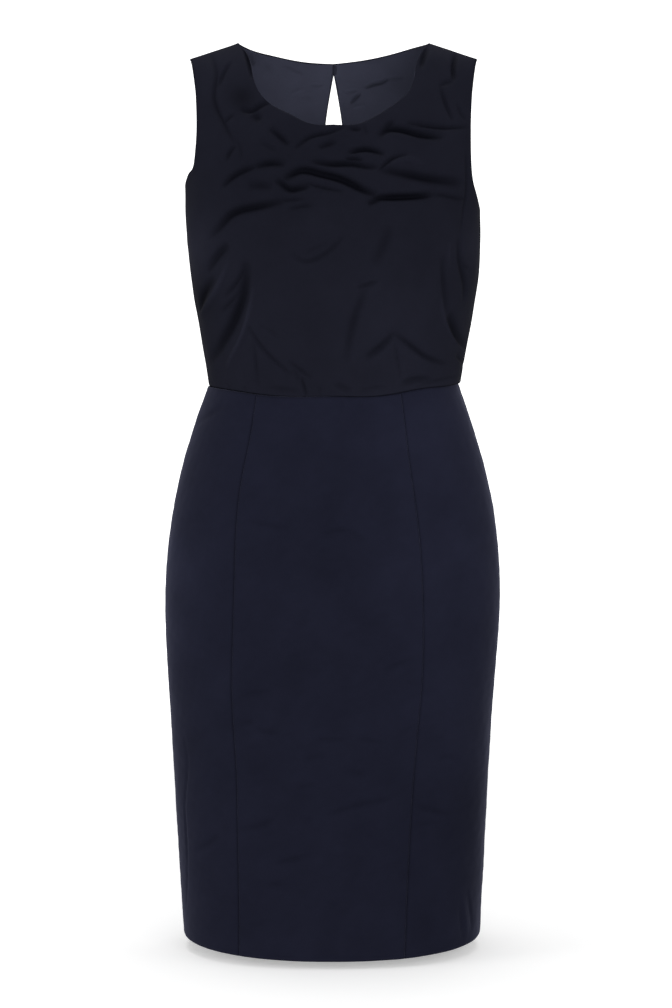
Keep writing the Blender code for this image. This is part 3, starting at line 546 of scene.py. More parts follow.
def on_form(form, face, angle, root):
    """Points of one face of the form, by angle, from pi at the left side seam to 0 at the
    right one, and by root."""
    angle, root = np.broadcast_arrays(angle, root)
    power = 2 / form["square"](root)
    depth = form["front" if face < 0 else "back"](root)
    across = np.cos(angle)
    x = form["centre"](root) + form["half_width"](root) * np.sign(across) * np.abs(across) ** power
    y = face * (depth * np.abs(np.sin(angle)) ** power + SEAM_GAP / 2)
    level = level_of(root)
    return np.stack([x, y, level - shoulder_fall(x, level)], axis=-1)


def place_of(form, x, z):
    """Angle and root of the form's point at x across and z up."""
    x, z = np.broadcast_arrays(np.asarray(x, float), np.asarray(z, float))
    level = z.copy()
    for _ in range(LEVEL_ROUNDS):
        level = z + shoulder_fall(x, level)
    root = np.sqrt(np.maximum(SHOULDER_TOP - level, 0))
    share = (x - form["centre"](root)) / form["half_width"](root)
    cosine = np.sign(share) * np.minimum(np.abs(share), 1) ** (form["square"](root) / 2)
    return np.arccos(cosine), root


def even_shares(count, path):
    """Shares of a path that cut it into equal lengths."""
    fine = np.linspace(0, 1, PATH_POINTS)
    lengths = lengths_along(path(fine))
    return np.interp(np.linspace(0, lengths[-1], count + 1), lengths, fine)


# ------------ cut edges
waist_sway = smooth_curve(*zip(*WAIST_SWAY))


def waist_height(share):
    """Height of the waist seam at a share of the half width: it dips at the middle and sways."""
    return WAIST_HEIGHT - WAIST_DIP * (1 - share ** 2) + WAIST_TILT * share + waist_sway(share)


def waist_edge(angle):
    """Root of the waist seam at an angle."""
    return root_of(waist_height(np.cos(angle)))


def armhole_path(face, side):
    """Armhole edge from the underarm to the shoulder tip, as angle and root of its share."""
    tip_fall = SHOULDER_SLOPE * (math.hypot(SHOULDER_TIP, SLOPE_EASE) - SLOPE_EASE)
    tip = SHOULDER_TOP - tip_fall
    column = 3 if face > 0 else 1 if side < 0 else 2
    x = [side * row[column] for row in ARMHOLE]
    z = [tip + (UNDERARM[side] - tip) * row[0] for row in ARMHOLE]
    angles, roots = place_of(BODICE, x, z)
    angles = np.append(angles, SIDE_ANGLE[side])[::-1]
    roots = np.append(roots, root_of(UNDERARM[side]))[::-1]
    return smooth_path(np.stack([angles, roots], axis=1))


def side_edge(face, side, rows):
    """Side seam up to the underarm, then the armhole up to the shoulder tip."""
    lower = rows // 2
    heights = np.linspace(waist_height(side), UNDERARM[side], lower + 1)[:-1]
    armhole = armhole_path(face, side)
    shares = even_shares(rows - lower, lambda share: on_form(BODICE, face, *armhole(share)))
    angles, roots = armhole(shares)
    roots[-1] = 0.0
    seam_angles = np.full(lower, SIDE_ANGLE[side])
    return np.append(seam_angles, angles), np.append(root_of(heights), roots)


def shoulder_and_neck(face, side, steps):
    """Top edge of one half: shoulder seam from the tip inwards, then the neck edge."""
    seam_steps = round(steps * SHOULDER_SHARE[face])
    seam_x = side * np.linspace(SHOULDER_TIP, NECK_POINT, seam_steps + 1)
    roots = np.zeros(len(seam_x))
    share = seam_x / BODICE["half_width"](roots)
    angles = np.arccos(np.sign(share) * np.abs(share) ** (BODICE["square"](roots) / 2))
    if face < 0:
        middle = len(FRONT_NECK) // 2
        neck = smooth_path(FRONT_NECK[:middle + 1] if side < 0 else FRONT_NECK[middle:][::-1])
    else:
        neck = smooth_path([(side * row[0], row[1 if side < 0 else 2]) for row in BACK_NECK])
    shares = even_shares(steps - seam_steps,
                         lambda s: on_form(BODICE, face, *place_of(BODICE, *neck(s))))
    neck_angles, neck_roots = place_of(BODICE, *neck(shares[1:]))
    return np.append(angles, neck_angles), np.append(roots, neck_roots)


def keyhole_half(z):
    """Half width of the keyhole at a height: a teardrop, fullest low down."""
    rise, fall, peak = KEYHOLE_SHAPE
    share = np.clip((KEYHOLE_TOP - z) / (KEYHOLE_TOP - KEYHOLE_BOTTOM), 0, 1)
    shape = share ** rise * np.sqrt(np.maximum(1 - share ** fall, 0))
    return KEYHOLE_HALF * shape / peak


def centre_back_edge(side, rows):
    """Centre back edge of a bodice back, with its half of the keyhole."""
    lower, upper = rows

    def place(z):
        x = side * (SEAM_GAP / 2 + keyhole_half(z)) + BODICE["centre"](root_of(z))
        return place_of(BODICE, x, z)

    def height(share):
        return KEYHOLE_BOTTOM + (BACK_NECK[-1][1] - KEYHOLE_BOTTOM) * share ** 2

    shares = even_shares(upper, lambda share: on_form(BODICE, 1, *place(height(share))))
    seam = np.linspace(waist_height(0.0), KEYHOLE_BOTTOM, lower + 1)[:-1]
    return place(np.append(seam, height(shares)))


# ------------ folds, seams and ripples
def distance_to_line(points, line):
    """Distance from each point to a polyline, and the share of the way along it."""
    nearest = np.full(len(points), np.inf)
    along = np.zeros(len(points))
    for k, (start, end) in enumerate(zip(line[:-1], line[1:])):
        step = end - start
        share = np.clip((points - start) @ step / (step @ step), 0, 1)
        gap = norm(points - start - share[:, None] * step, axis=1)
        closer = gap < nearest
        nearest[closer] = gap[closer]
        along[closer] = (k + share[closer]) / (len(line) - 1)
    return nearest, along


def fold_relief(form, face, points, table):
    """How far the folds push each point in, in metres: the deepest trough, less the ridges."""
    flat = points.reshape(-1, 3)
    troughs, ridges = np.zeros((2, len(flat)))
    for fold in table:
        across, up = smooth_path(fold.path)(np.linspace(0, 1, FOLD_STEPS + 1))
        line = on_form(form, face, *place_of(form, across, up))
        reach = fold.half_width / 1000 * FOLD_REACH[0 if fold.power > 1.5 else 1]
        inside = ((flat > line.min(axis=0) - reach) & (flat < line.max(axis=0) + reach)).all(axis=1)
        gap, along = distance_to_line(flat[inside], line)
        taper = np.sin(math.pi * np.clip(along, 0.004, 0.996)) ** 0.5
        away = (gap * 1000 / fold.half_width) ** fold.power
        push = abs(fold.depth) / 1000 * taper * np.exp(-away)
        if fold.depth > 0:
            before = troughs[inside]
            troughs[inside] = np.maximum(before, push) + FOLD_CROSSING * np.minimum(before, push)
        else:
            ridges[inside] = np.maximum(ridges[inside], push)
    return (troughs - ridges).reshape(points.shape[:-1])


def painted_shade_and_light(points, relief):
    """Painted shade from the depth of the folds in millimetres, less what the painted light lifts.
    """
    painted_shade = relief * 1000
    for across, up, reach, strength in FRONT_PAINTED_LIGHT:
        gap = (points[..., 0] * 1000 - across) ** 2 + (points[..., 2] * 1000 - up) ** 2
        painted_shade = painted_shade - strength * np.exp(-gap / reach ** 2)
    return painted_shade


def ripple(points, seed, wavelength, stretch=(1, 1, 1)):
    """Smooth uneven field between about -1 and 1, the same on each run."""
    source = np.random.default_rng(seed)
    field = np.zeros(points.shape[:-1])
    waves = 14
    for _ in range(waves):
        direction = source.normal(size=3)
        direction *= 2 * math.pi / wavelength / norm(direction)
        direction *= source.uniform(0.6, 1.5)
        field += np.sin(points @ (direction * np.array(stretch)) + source.uniform(0, 2 * math.pi))
    return field / math.sqrt(waves)


def near(distance, reach):
    """1 at the line, 0 beyond its reach, smoothly."""
    share = np.clip(1 - np.abs(distance) / reach, 0, 1)
    return share * share * (3 - 2 * share)


def grid_normals(points):
    """Unit normals of a grid of points, away from the inside of the dress."""
    up, across = np.gradient(points, axis=(0, 1))
    normals = np.cross(across, up)
    normals /= norm(normals, axis=-1, keepdims=True)
    j, i = points.shape[0] // 2, points.shape[1] // 2
    return normals if normals[j, i, :2] @ points[j, i, :2] >= 0 else -normals


def push_in(points, relief):
    """A grid of points moved inwards."""
    return points - grid_normals(points) * relief[..., None]


def seam_painted_shade(shape, **edges):
    """Painted shade that the seam edges add, in millimetres of fold."""
    return rolled_edges(shape, profile=SEAM_PAINTED_SHADE_SHARES, **edges) / ROLL_DEPTH * SEAM_PAINTED_SHADE


def rolled_edges(shape, left=1.0, right=1.0, bottom=1.0, top=1.0, profile=ROLL_PROFILE):
    """How far the rows and columns beside each edge turn in, in metres."""
    relief = np.zeros(shape)
    for k, share in enumerate(profile):
        for line, strength in ((relief[:, k], left), (relief[:, -1 - k], right),
                               (relief[k], bottom), (relief[-1 - k], top)):
            np.maximum(line, strength * share, out=line)
    return relief * ROLL_DEPTH


def edge_fade(shape):
    """0 at the edges of a grid and 1 inside, so that folds don't open the seams."""
    fade = np.ones(shape)
    for k, share in enumerate(EDGE_FADE):
        for line in (fade[k], fade[-1 - k], fade[:, k], fade[:, -1 - k]):
            np.minimum(line, share, out=line)
    return fade


# ------------ grids
def patch(face, rows, bottom, top, left, right, across):
    """Grid of angles and roots between four edges, whose columns and rows bend as the sides do."""
    up = np.linspace(0, 1, PATCH_STEPS + 1)[:, None]
    roots = (1 - up) * bottom[1] + up * top[1]
    angles = (1 - up) * bottom[0] + up * top[0]
    sides = [(left, (1 - across) ** EDGE_HOLD), (right, across ** EDGE_HOLD)]
    for (side_angles, side_roots), hold in sides:
        straight = np.interp(-roots, -side_roots[[0, -1]], side_angles[[0, -1]])
        bow = hold * (np.interp(-roots, -side_roots, side_angles) - straight)
        angles += bow - (1 - up) * bow[0] - up * bow[-1]
    points = on_form(BODICE, face, angles, roots)
    grid = np.zeros((2, rows + 1, len(across)))
    for i in range(len(across)):
        lengths = lengths_along(points[:, i])
        even = np.interp(np.linspace(0, lengths[-1], rows + 1), lengths, up[:, 0])
        share = even.copy()
        for (_, side_roots), hold in sides:
            side_share = (side_roots - side_roots[0]) / (side_roots[-1] - side_roots[0])
            share += hold[i] * (side_share - even)
        grid[0, :, i] = np.interp(share, up[:, 0], angles[:, i])
        grid[1, :, i] = np.interp(share, up[:, 0], roots[:, i])
    grid[:, :, 0] = left
    grid[:, :, -1] = right
    return grid


def add_lip(grid, form, face, width):
    """Splits a narrow strip off a grid of angles and roots along its last column."""
    edge, inner = grid[..., -1], grid[..., -2]
    span = norm(on_form(form, face, *edge) - on_form(form, face, *inner), axis=-1)
    lip = edge + (inner - edge) * np.minimum(width / span, LIP_MOST)
    return np.concatenate([grid[..., :-1], lip[..., None], edge[..., None]], axis=-1)


def add_lips(grid, form, face):
    """Narrow strips along all four edges of a grid."""
    for width in LIPS:
        for _ in range(4):
            grid = add_lip(grid, form, face, width)
            grid = grid.transpose(0, 2, 1)[..., ::-1]
    return grid


def bodice_front_points():
    """Grid of the bodice front: rows from the waist up, columns from left to right."""
    columns, rows = BODICE_FRONT_GRID
    left, right = (side_edge(-1, side, rows) for side in (-1, 1))
    top_left, top_right = (shoulder_and_neck(-1, side, columns // 2) for side in (-1, 1))
    top = [np.append(half, other[-2::-1]) for half, other in zip(top_left, top_right)]
    waist_root = waist_edge(math.pi / 2)
    across = even_shares(columns, lambda s: on_form(BODICE, -1, math.pi * (1 - s), waist_root))
    angles = math.pi * (1 - across)
    bottom = (angles, waist_edge(angles) - SEAM_GAP)
    grid = patch(-1, rows, bottom, top, left, right, across)
    return on_form(BODICE, -1, *add_lips(grid, BODICE, -1))


def bodice_back_points(side):
    """Grid of one bodice back: rows from the waist up, columns from the centre back outwards."""
    columns, rows = BODICE_BACK_COLUMNS, sum(BODICE_BACK_ROWS)
    inner = centre_back_edge(side, BODICE_BACK_ROWS)
    waist_root = waist_edge(math.pi / 2)
    centre_x = BODICE["centre"](waist_root) + side * SEAM_GAP / 2
    centre_angle, _ = place_of(BODICE, centre_x, waist_height(0.0))
    turn = SIDE_ANGLE[side] - centre_angle
    across = even_shares(columns, lambda s: on_form(BODICE, 1, centre_angle + turn * s, waist_root))
    angles = centre_angle + turn * across
    bottom = (angles, waist_edge(angles) - SEAM_GAP)
    top = [edge[::-1].copy() for edge in shoulder_and_neck(1, side, columns)]
    top[0][0], top[1][0] = inner[0][-1], inner[1][-1]
    grid = patch(1, rows, bottom, top, inner, side_edge(1, side, rows), across)
    return on_form(BODICE, 1, *add_lips(grid, BODICE, 1))


def skirt_roots(face, angles):
    """Rows of roots from the hem up to the waist seam for a grid's columns of angles."""
    waist = waist_edge(angles[-1]) + SEAM_GAP
    hem = SHOULDER_TOP - HEM_HEIGHT
    if face < 0:
        hem = hem + HEM_DIP * np.abs(np.sin(angles[0]))
    share = np.linspace(0, 1, SKIRT_ROWS + 1)[:, None]
    return np.sqrt(hem + (waist ** 2 - hem) * share)


def skirt_front_points(left_edge, right_edge, columns):
    """Grid between two seams: each is x across as a function of height, or None at the side."""
    share = np.linspace(0, 1, columns + 1)
    roots = skirt_roots(-1, np.full((2, columns + 1), math.pi / 2))
    for _ in range(EDGE_ROUNDS):
        heights = level_of(roots)
        left = np.full(SKIRT_ROWS + 1, math.pi)
        right = np.zeros(SKIRT_ROWS + 1)
        if left_edge is not None:
            left, _ = place_of(SKIRT, left_edge(heights[:, 0]) + SEAM_GAP / 2, heights[:, 0])
        if right_edge is not None:
            right, _ = place_of(SKIRT, right_edge(heights[:, -1]) - SEAM_GAP / 2, heights[:, -1])
        angles = left[:, None] + (right - left)[:, None] * share
        roots = skirt_roots(-1, angles)
    return on_form(SKIRT, -1, *add_lips(np.stack([angles, roots]), SKIRT, -1))


def skirt_back_points(side):
    """Grid of one skirt back: rows from the hem up, columns from the centre back outwards."""
    share = np.linspace(0, 1, SKIRT_BACK_COLUMNS + 1)
    centre = np.full(SKIRT_ROWS + 1, math.pi / 2)
    for _ in range(EDGE_ROUNDS):
        angles = centre[:, None] + (SIDE_ANGLE[side] - centre)[:, None] * share
        roots = skirt_roots(1, angles)
        centre_x = SKIRT["centre"](roots[:, 0]) + side * SEAM_GAP / 2
        centre, _ = place_of(SKIRT, centre_x, level_of(roots[:, 0]))
    return on_form(SKIRT, 1, *add_lips(np.stack([angles, roots]), SKIRT, 1))


# ------------ meshes
def arc_lengths(points):
    """Running lengths along the rows and up the columns of a grid, in metres."""
    across = np.zeros(points.shape[:2])
    across[:, 1:] = np.cumsum(norm(np.diff(points, axis=1), axis=-1), axis=1)
    up = np.zeros(points.shape[:2])
    up[1:] = np.cumsum(norm(np.diff(points, axis=0), axis=-1), axis=0)
    return across - across[:, [points.shape[1] // 2]], up


def grid_area(points):
    """Area of a grid of points."""
    across = np.diff(points, axis=1)[:-1]
    up = np.diff(points, axis=0)[:, :-1]
    return float(norm(np.cross(across, up), axis=-1).sum())


def add_object(name, data):
    thing = bpy.data.objects.new(name, data)
    bpy.context.scene.collection.objects.link(thing)
    return thing


def add_mesh(name, points, faces, materials):
    """A smooth mesh as an object."""
    mesh = bpy.data.meshes.new(name)
    mesh.from_pydata(points, [], faces)
    for material in materials:
        mesh.materials.append(material)
    mesh.shade_smooth()
    return add_object(name, mesh)


def cloth_piece(name, node, points, cloth, painted_shade, keep=None, hem=0.0):
    """A panel of cloth: one sheet with the right side out, thickened inwards.

    The painted shade is the depth of the folds in millimetres: its material paints shade in
    the troughs and highlight on the ridges. Cells of the grid where keep is false are left out.
    """
    rows, columns = points.shape[:2]
    j, i = rows // 2, columns // 2
    normal = np.cross(points[j, i + 1] - points[j, i], points[j + 1, i] - points[j, i])
    turn = 1 if normal[:2] @ points[j, i, :2] > 0 else -1
    corner = np.arange(rows * columns).reshape(rows, columns)[:-1, :-1]
    corner = corner.ravel() if keep is None else corner[keep]
    faces = np.stack([corner, corner + 1, corner + columns + 1, corner + columns], axis=1)
    piece = add_mesh(name, points.reshape(-1, 3).tolist(), faces[:, ::turn].tolist(), cloth)
    mesh = piece.data
    across, up = arc_lengths(points)
    uv = np.stack([across, up], axis=-1).reshape(-1, 2)
    corner_verts = [loop.vertex_index for loop in mesh.loops]
    layer = mesh.uv_layers.new(name="cloth")
    layer.data.foreach_set("uv", uv[corner_verts].ravel())
    # the painted shade is kept in a mesh attribute named fold
    fold = mesh.attributes.new("fold", "FLOAT", "POINT")
    fold.data.foreach_set("value", painted_shade.ravel())
    build = bmesh.new()
    build.from_mesh(mesh)
    bmesh.ops.delete(build, geom=[v for v in build.verts if not v.link_faces], context="VERTS")
    build.to_mesh(mesh)
    build.free()
    wall = piece.modifiers.new("wall", "SOLIDIFY")
    wall.thickness = CLOTH
    wall.offset = -1
    wall.material_offset = 1
    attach(piece, "dress")
    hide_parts(node)
    width = float(np.ptp(across, axis=1).max()) + 2 * SEAM_ALLOWANCE
    length = float(up.max()) + 2 * SEAM_ALLOWANCE + hem
    edges = 2 * (width + length) * SEAM_ALLOWANCE + hem * width
    min(grid_area(points) + edges, width * length)


# ------------ materials
def set_inputs(tree, node, inputs):
    """Inputs of a node, given as values or as (node, output) links."""
    for name, value in inputs.items():
        if isinstance(value, tuple) and isinstance(value[0], bpy.types.Node):
            tree.links.new(value[0].outputs[value[1]], node.inputs[name])
        else:
            node.inputs[name].default_value = value


def add_node(tree, kind, inputs=None, **settings):
    """A shader node with its settings and inputs."""
    node = tree.nodes.new("ShaderNode" + kind)
    for name, value in settings.items():
        setattr(node, name, value)
    set_inputs(tree, node, inputs or {})
    return node


def new_material(name):
    """A material, its node tree and its main shader."""
    material = bpy.data.materials.new(name)
    material.use_nodes = True
    return material, material.node_tree, material.node_tree.nodes["Principled BSDF"]


def tone_ramp(tree, factor, colour, spread):
    """Colour that varies a little to either side of its mean."""
    ramp = add_node(tree, "ValToRGB", {0: factor})
    ends = ((0.3, 1 - spread), (0.7, 1 + spread))
    for element, (position, scale) in zip(ramp.color_ramp.elements, ends):
        element.color = (*(c * scale for c in colour), 1)
    for element, (position, scale) in zip(ramp.color_ramp.elements, ends):
        element.position = position
    return ramp


def cloth_material(name, on_grid, colour, roughness, specular, weight, fuzz, tint,
                   pitch, turn, depth):
    """Woven cloth: uneven tone, painted shade in folds and highlight on ridges, ribs and crumples
    as bump, a soft sheen.
    """
    material, tree, shader = new_material(name)
    space = add_node(tree, "TexCoord")
    flat = (add_node(tree, "UVMap", uv_map="cloth"), "UV") if on_grid else (space, "Object")
    blotch = add_node(tree, "TexNoise", {"Vector": (space, "Object"), "Scale": 26.0,
                                         "Detail": 5.0, "Roughness": 0.62})
    stretched = add_node(tree, "Mapping", {"Vector": flat, "Scale": YARN_SCALE})
    yarn = add_node(tree, "TexNoise", {"Vector": (stretched, "Vector"), "Scale": 1.0,
                                       "Detail": 2.0})
    mixed = add_node(tree, "Math", {0: (blotch, "Fac"), 1: 0.6}, operation="MULTIPLY")
    mixed = add_node(tree, "Math", {0: (yarn, "Fac"), 1: 0.4, 2: (mixed, "Value")},
                     operation="MULTIPLY_ADD")
    ramp = tone_ramp(tree, (mixed, "Value"), colour, 0.12)
    # painted shade in the troughs and painted highlight on the ridges, from the fold attribute
    fold = add_node(tree, "Attribute", attribute_name="fold")
    painted_light_scale = add_node(tree, "MapRange", {0: (fold, "Fac"), 1: -PAINTED_FOLD_RANGE, 2: PAINTED_FOLD_RANGE,
                                       3: FOLD_PAINTED_HIGHLIGHT_AND_SHADE[0], 4: FOLD_PAINTED_HIGHLIGHT_AND_SHADE[1]})
    painted_base_colour = add_node(tree, "VectorMath", {0: (ramp, "Color"), "Scale": (painted_light_scale, "Result")},
                      operation="SCALE")
    turned = add_node(tree, "Mapping", {"Vector": flat, "Rotation": (0, 0, math.radians(turn))})
    ribs = add_node(tree, "TexWave", {"Vector": (turned, "Vector"), "Scale": 1 / pitch / WAVE_TURN,
                                      "Distortion": 0.8, "Detail": 1.0, "Detail Scale": 2.0})
    coarse = add_node(tree, "TexNoise", {"Vector": (space, "Object"), "Scale": 140.0,
                                         "Detail": 4.0})
    heights = add_node(tree, "Math", {0: (ribs, "Fac"), 1: 0.5, 2: (coarse, "Fac")},
                       operation="MULTIPLY_ADD")
    bump = add_node(tree, "Bump", {"Height": (heights, "Value"), "Strength": 0.5,
                                   "Distance": depth})
    set_inputs(tree, shader, {
        "Roughness": roughness, "Specular IOR Level": specular, "Specular Tint": SPECULAR_TINT,
        "Sheen Weight": weight, "Sheen Roughness": fuzz, "Sheen Tint": (*tint, 1),
        "Base Color": (painted_base_colour, "Vector"), "Normal": (bump, "Normal")})
    material.diffuse_color = (*colour, 1)
    return material


def enamel_material(name, colour):
    """Satin enamel with faint wear."""
    material, tree, shader = new_material(name)
    space = add_node(tree, "TexCoord")
    wear = add_node(tree, "TexNoise", {"Vector": (space, "Object"), "Scale": 900.0, "Detail": 4.0})
    ramp = tone_ramp(tree, (wear, "Fac"), colour, 0.2)
    bump = add_node(tree, "Bump", {"Height": (wear, "Fac"), "Strength": 0.2, "Distance": 0.00003})
    set_inputs(tree, shader, {"Roughness": 0.34, "Metallic": 0.5,
                              "Base Color": (ramp, "Color"), "Normal": (bump, "Normal")})
    return material


def stage_material(name):
    """Pale floor and backdrop: its own glow, with room for a soft shadow near the dress."""
    material, tree, shader = new_material(name)
    space = add_node(tree, "TexCoord")
    level = add_node(tree, "VectorMath", {0: (space, "Object"), 1: (1.0, 1.0, 0.0)},
                     operation="MULTIPLY")
    away = add_node(tree, "VectorMath", {0: (level, "Vector")}, operation="LENGTH")
    glow = add_node(tree, "MapRange", {"Value": (away, "Value"),
                                       "From Min": STAGE_FADE[0], "From Max": STAGE_FADE[1],
                                       "To Min": STAGE_GLOW[0], "To Max": STAGE_GLOW[1]})
    set_inputs(tree, shader, {
        "Base Color": (*STAGE_COLOUR, 1), "Roughness": 1.0, "Specular IOR Level": 0.0,
        "Emission Color": (1, 1, 1, 1), "Emission Strength": (glow, "Result")})
    return material


# ------------ panels
def bodice_panel(name, node, points, relief, painted_shade, satin):
    """One panel of the bodice, whose folds fade out towards its edges. Returns its points."""
    edges = rolled_edges(relief.shape, left=0.5, right=0.5, top=0.5)
    points = push_in(points, relief * edge_fade(relief.shape) + edges)
    cloth_piece(name, node, points, satin, painted_shade)
    return points


def build_bodice(satin):
    """The front and both backs of the bodice. Returns the points of the backs."""
    points = bodice_front_points()
    relief = fold_relief(BODICE, -1, points, BODICE_FOLDS + WAIST_DARTS)
    # painted shade of the folds and the seams, with painted light and shade from the front table
    painted_shade = painted_shade_and_light(points, relief) + seam_painted_shade(relief.shape, left=0.5, right=0.5, top=0.0)
    # a painted dark line of shade along the line that doubles the waist seam
    painted_shade[len(LIPS)] += DOUBLED_SEAM_PAINTED_SHADE
    relief += BODICE_RIPPLE * ripple(points, seed=3, wavelength=0.045)
    bodice_panel("front_cloth", "bodice_front", points, relief, painted_shade, satin)
    backs = []
    for side, name in SIDES:
        points = bodice_back_points(side)
        relief = fold_relief(BODICE, 1, points, BACK_FOLDS + NECK_CREASES + BACK_DARTS)
        # painted shade from the depth of the back's folds and at its seams
        painted_shade = relief * 1000 + seam_painted_shade(relief.shape, left=0.3, right=0.3, top=0.0)
        relief += BODICE_RIPPLE * ripple(points, seed=5 + side, wavelength=0.05)
        backs.append(bodice_panel("back_cloth_" + name, "bodice_back_" + name, points, relief,
                                  painted_shade, satin))
    return backs


def skirt_surface(points, face, table, seed):
    """Points of a skirt panel with its folds, ripples and rolled edges, and its painted shade."""
    broad, fine = SKIRT_RIPPLES
    relief = fold_relief(SKIRT, face, points, table)
    relief += broad * ripple(points, seed, wavelength=0.06)
    relief += fine * ripple(points, seed + 20, wavelength=0.018, stretch=(1, 1, 1.6))
    # painted light and shade on the fronts; painted shade of the folds alone on the backs
    painted_shade = painted_shade_and_light(points, relief) if face < 0 else relief * 1000
    painted_shade = painted_shade + seam_painted_shade(relief.shape, left=0.5, right=0.5, bottom=0.0, top=0.4)
    relief += rolled_edges(relief.shape, bottom=0.3)
    return push_in(points, relief), painted_shade


def skirt_piece(name, points, twill, painted_shade, keep=None):
    cloth_piece("cloth_skirt_" + name, "skirt_" + name, points, twill, painted_shade, keep,
                hem=HEM_TURN)


def build_skirt(twill):
    """The three fronts and two backs of the skirt. Returns the points of the backs."""
    heights, *seams = np.array(PANEL_SEAMS)[::-1].T
    left_seam, right_seam = (smooth_curve(heights, seam) for seam in seams)
    panels = (("side_front_left", None, left_seam), ("front", left_seam, right_seam),
              ("side_front_right", right_seam, None))
    for (name, left_edge, right_edge), columns in zip(panels, SKIRT_FRONT_COLUMNS):
        points = skirt_front_points(left_edge, right_edge, columns)
        points, painted_shade = skirt_surface(points, -1, SKIRT_FRONT_FOLDS, seed=31)
        skirt_piece(name, points, twill, painted_shade)
    (left, left_painted_shade), (right, right_painted_shade) = (
        skirt_surface(skirt_back_points(side), 1, SKIRT_BACK_FOLDS, seed=41) for side in (-1, 1))
    skirt_piece("back_left", left, twill, left_painted_shade)
    # The right back runs on under the left one beside the vent, and sinks there to lie inside it.
    tucked = CLOTH + 2 * CLEARANCE
    across, up = arc_lengths(left)
    from_centre = np.abs(across - across[:, [0]])
    lap_columns = int((from_centre[0] < LAP_WIDTH).sum())
    vent_rows = int((up[:, 0] < VENT_TOP - HEM_HEIGHT).sum())
    under = (left - grid_normals(left) * tucked)[:, lap_columns - 1:0:-1]
    inside = right - grid_normals(right) * tucked
    across, _ = arc_lengths(right)
    share = near(across - across[:, [0]], VENT_EASE)[..., None]
    right[:vent_rows + 1] = (right + (inside - right) * share)[:vent_rows + 1]
    whole = np.concatenate([under, right], axis=1)
    painted_shade = np.concatenate([np.zeros(under.shape[:2]), right_painted_shade], axis=1)
    keep = np.ones((whole.shape[0] - 1, whole.shape[1] - 1), bool)
    keep[vent_rows:, :lap_columns - 1] = False
    skirt_piece("back_right", whole, twill, painted_shade, keep)
    return left, right


# ------------ sewing and the zip's teeth
def joined_mesh(name, parts, material):
    """One piece from many small closed meshes, each given as points and faces."""
    points, faces = [], []
    for part_points, part_faces in parts:
        faces += [tuple(len(points) + k for k in face) for face in part_faces]
        points += [tuple(point) for point in part_points]
    piece = add_mesh(name, points, faces, [material])
    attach(piece, "dress")


def stitch(middle, along, out, length, radius):
    """A short plump thread lying along the cloth, with pointed ends."""
    side = np.cross(along, out)
    sides = 6
    ring = [radius * (math.cos(a) * out + math.sin(a) * side)
            for a in np.linspace(0, 2 * math.pi, sides, endpoint=False)]
    points = [middle - along * length / 2]
    for share, plump in STITCH_PROFILE:
        points += [middle + along * length * share + plump * step for step in ring]
    points.append(middle + along * length / 2)
    faces = []
    for k in range(sides):
        after = (k + 1) % sides
        faces.append((0, 1 + after, 1 + k))
        for row in (1, 1 + sides):
            faces.append((row + k, row + after, row + sides + after, row + sides + k))
        faces.append((1 + 2 * sides + k, 1 + 2 * sides + after, len(points) - 1))
    return points, faces


def sample(at, knots, rows):
    """Rows of numbers, such as points, read off between their knots."""
    return np.array([np.interp(at, knots, column) for column in rows.T])


def stitches_along(path, normals, size):
    """Stitches at an even pitch along a path on the cloth."""
    length, pitch, radius = size
    lengths = lengths_along(path)
    row = []
    for at in np.arange(pitch / 2, lengths[-1] - pitch / 2, pitch):
        middle, out = sample(at, lengths, path), sample(at, lengths, normals)
        before, after = (sample(at + shift, lengths, path) for shift in (-pitch / 4, pitch / 4))
        along = (after - before) / norm(after - before)
        out = out - along * (out @ along)
        row.append(stitch(middle, along, out / norm(out), length, radius))
    return row


def back_frame(x, z):
    """Point on the upper back's outer face and its outward normal."""
    step = 0.002
    here, right, up = (on_form(BODICE, 1, *place_of(BODICE, x + dx, z + dz))
                       for dx, dz in ((0, 0), (step, 0), (0, step)))
    normal = np.cross(up - here, right - here)
    return here, normal / norm(normal)


def build_sewing(thread, backs):
    """Stitches beside the keyhole on both faces, and a bar tack at either end of it."""
    parts = []
    for points in backs:
        normals = grid_normals(points)
        column, out = points[:, STITCH_COLUMN], normals[:, STITCH_COLUMN]
        beside = (column[:, 2] > KEYHOLE_BOTTOM) & (column[:, 2] < KEYHOLE_TOP)
        for lift in (0.0, -CLOTH):
            parts += stitches_along(column[beside] + out[beside] * lift, out[beside], STITCH)
    length, pitch, radius = TACK
    across = np.array((1.0, 0.0, 0.0))
    for x, z, count, face in TACK_PLACES:
        for k in range(count):
            here, normal = back_frame(x, z + (k - (count - 1) / 2) * pitch)
            lift = radius / 2 if face > 0 else -CLOTH - radius / 2
            parts.append(stitch(here + normal * lift, across, normal, length, radius))
    joined_mesh("keyhole_stitches", parts, thread)


def block(middle, out, size):
    """A small chamfered block whose depth runs along a direction in the middle plane."""
    width, depth, height = size
    up = np.cross(np.array((1.0, 0.0, 0.0)), out)
    points = []
    for share, rise in TOOTH_PROFILE:
        for across, away in ((-1, -1), (1, -1), (1, 1), (-1, 1)):
            points.append(middle + np.array((across * width / 2 * share, 0, 0))
                          + out * away * depth / 2 * share + up * height * rise)
    faces = [(3, 2, 1, 0), (12, 13, 14, 15)]
    for row in (0, 4, 8):
        for k in range(4):
            after = (k + 1) % 4
            faces.append((row + k, row + after, row + 4 + after, row + 4 + k))
    return points, faces


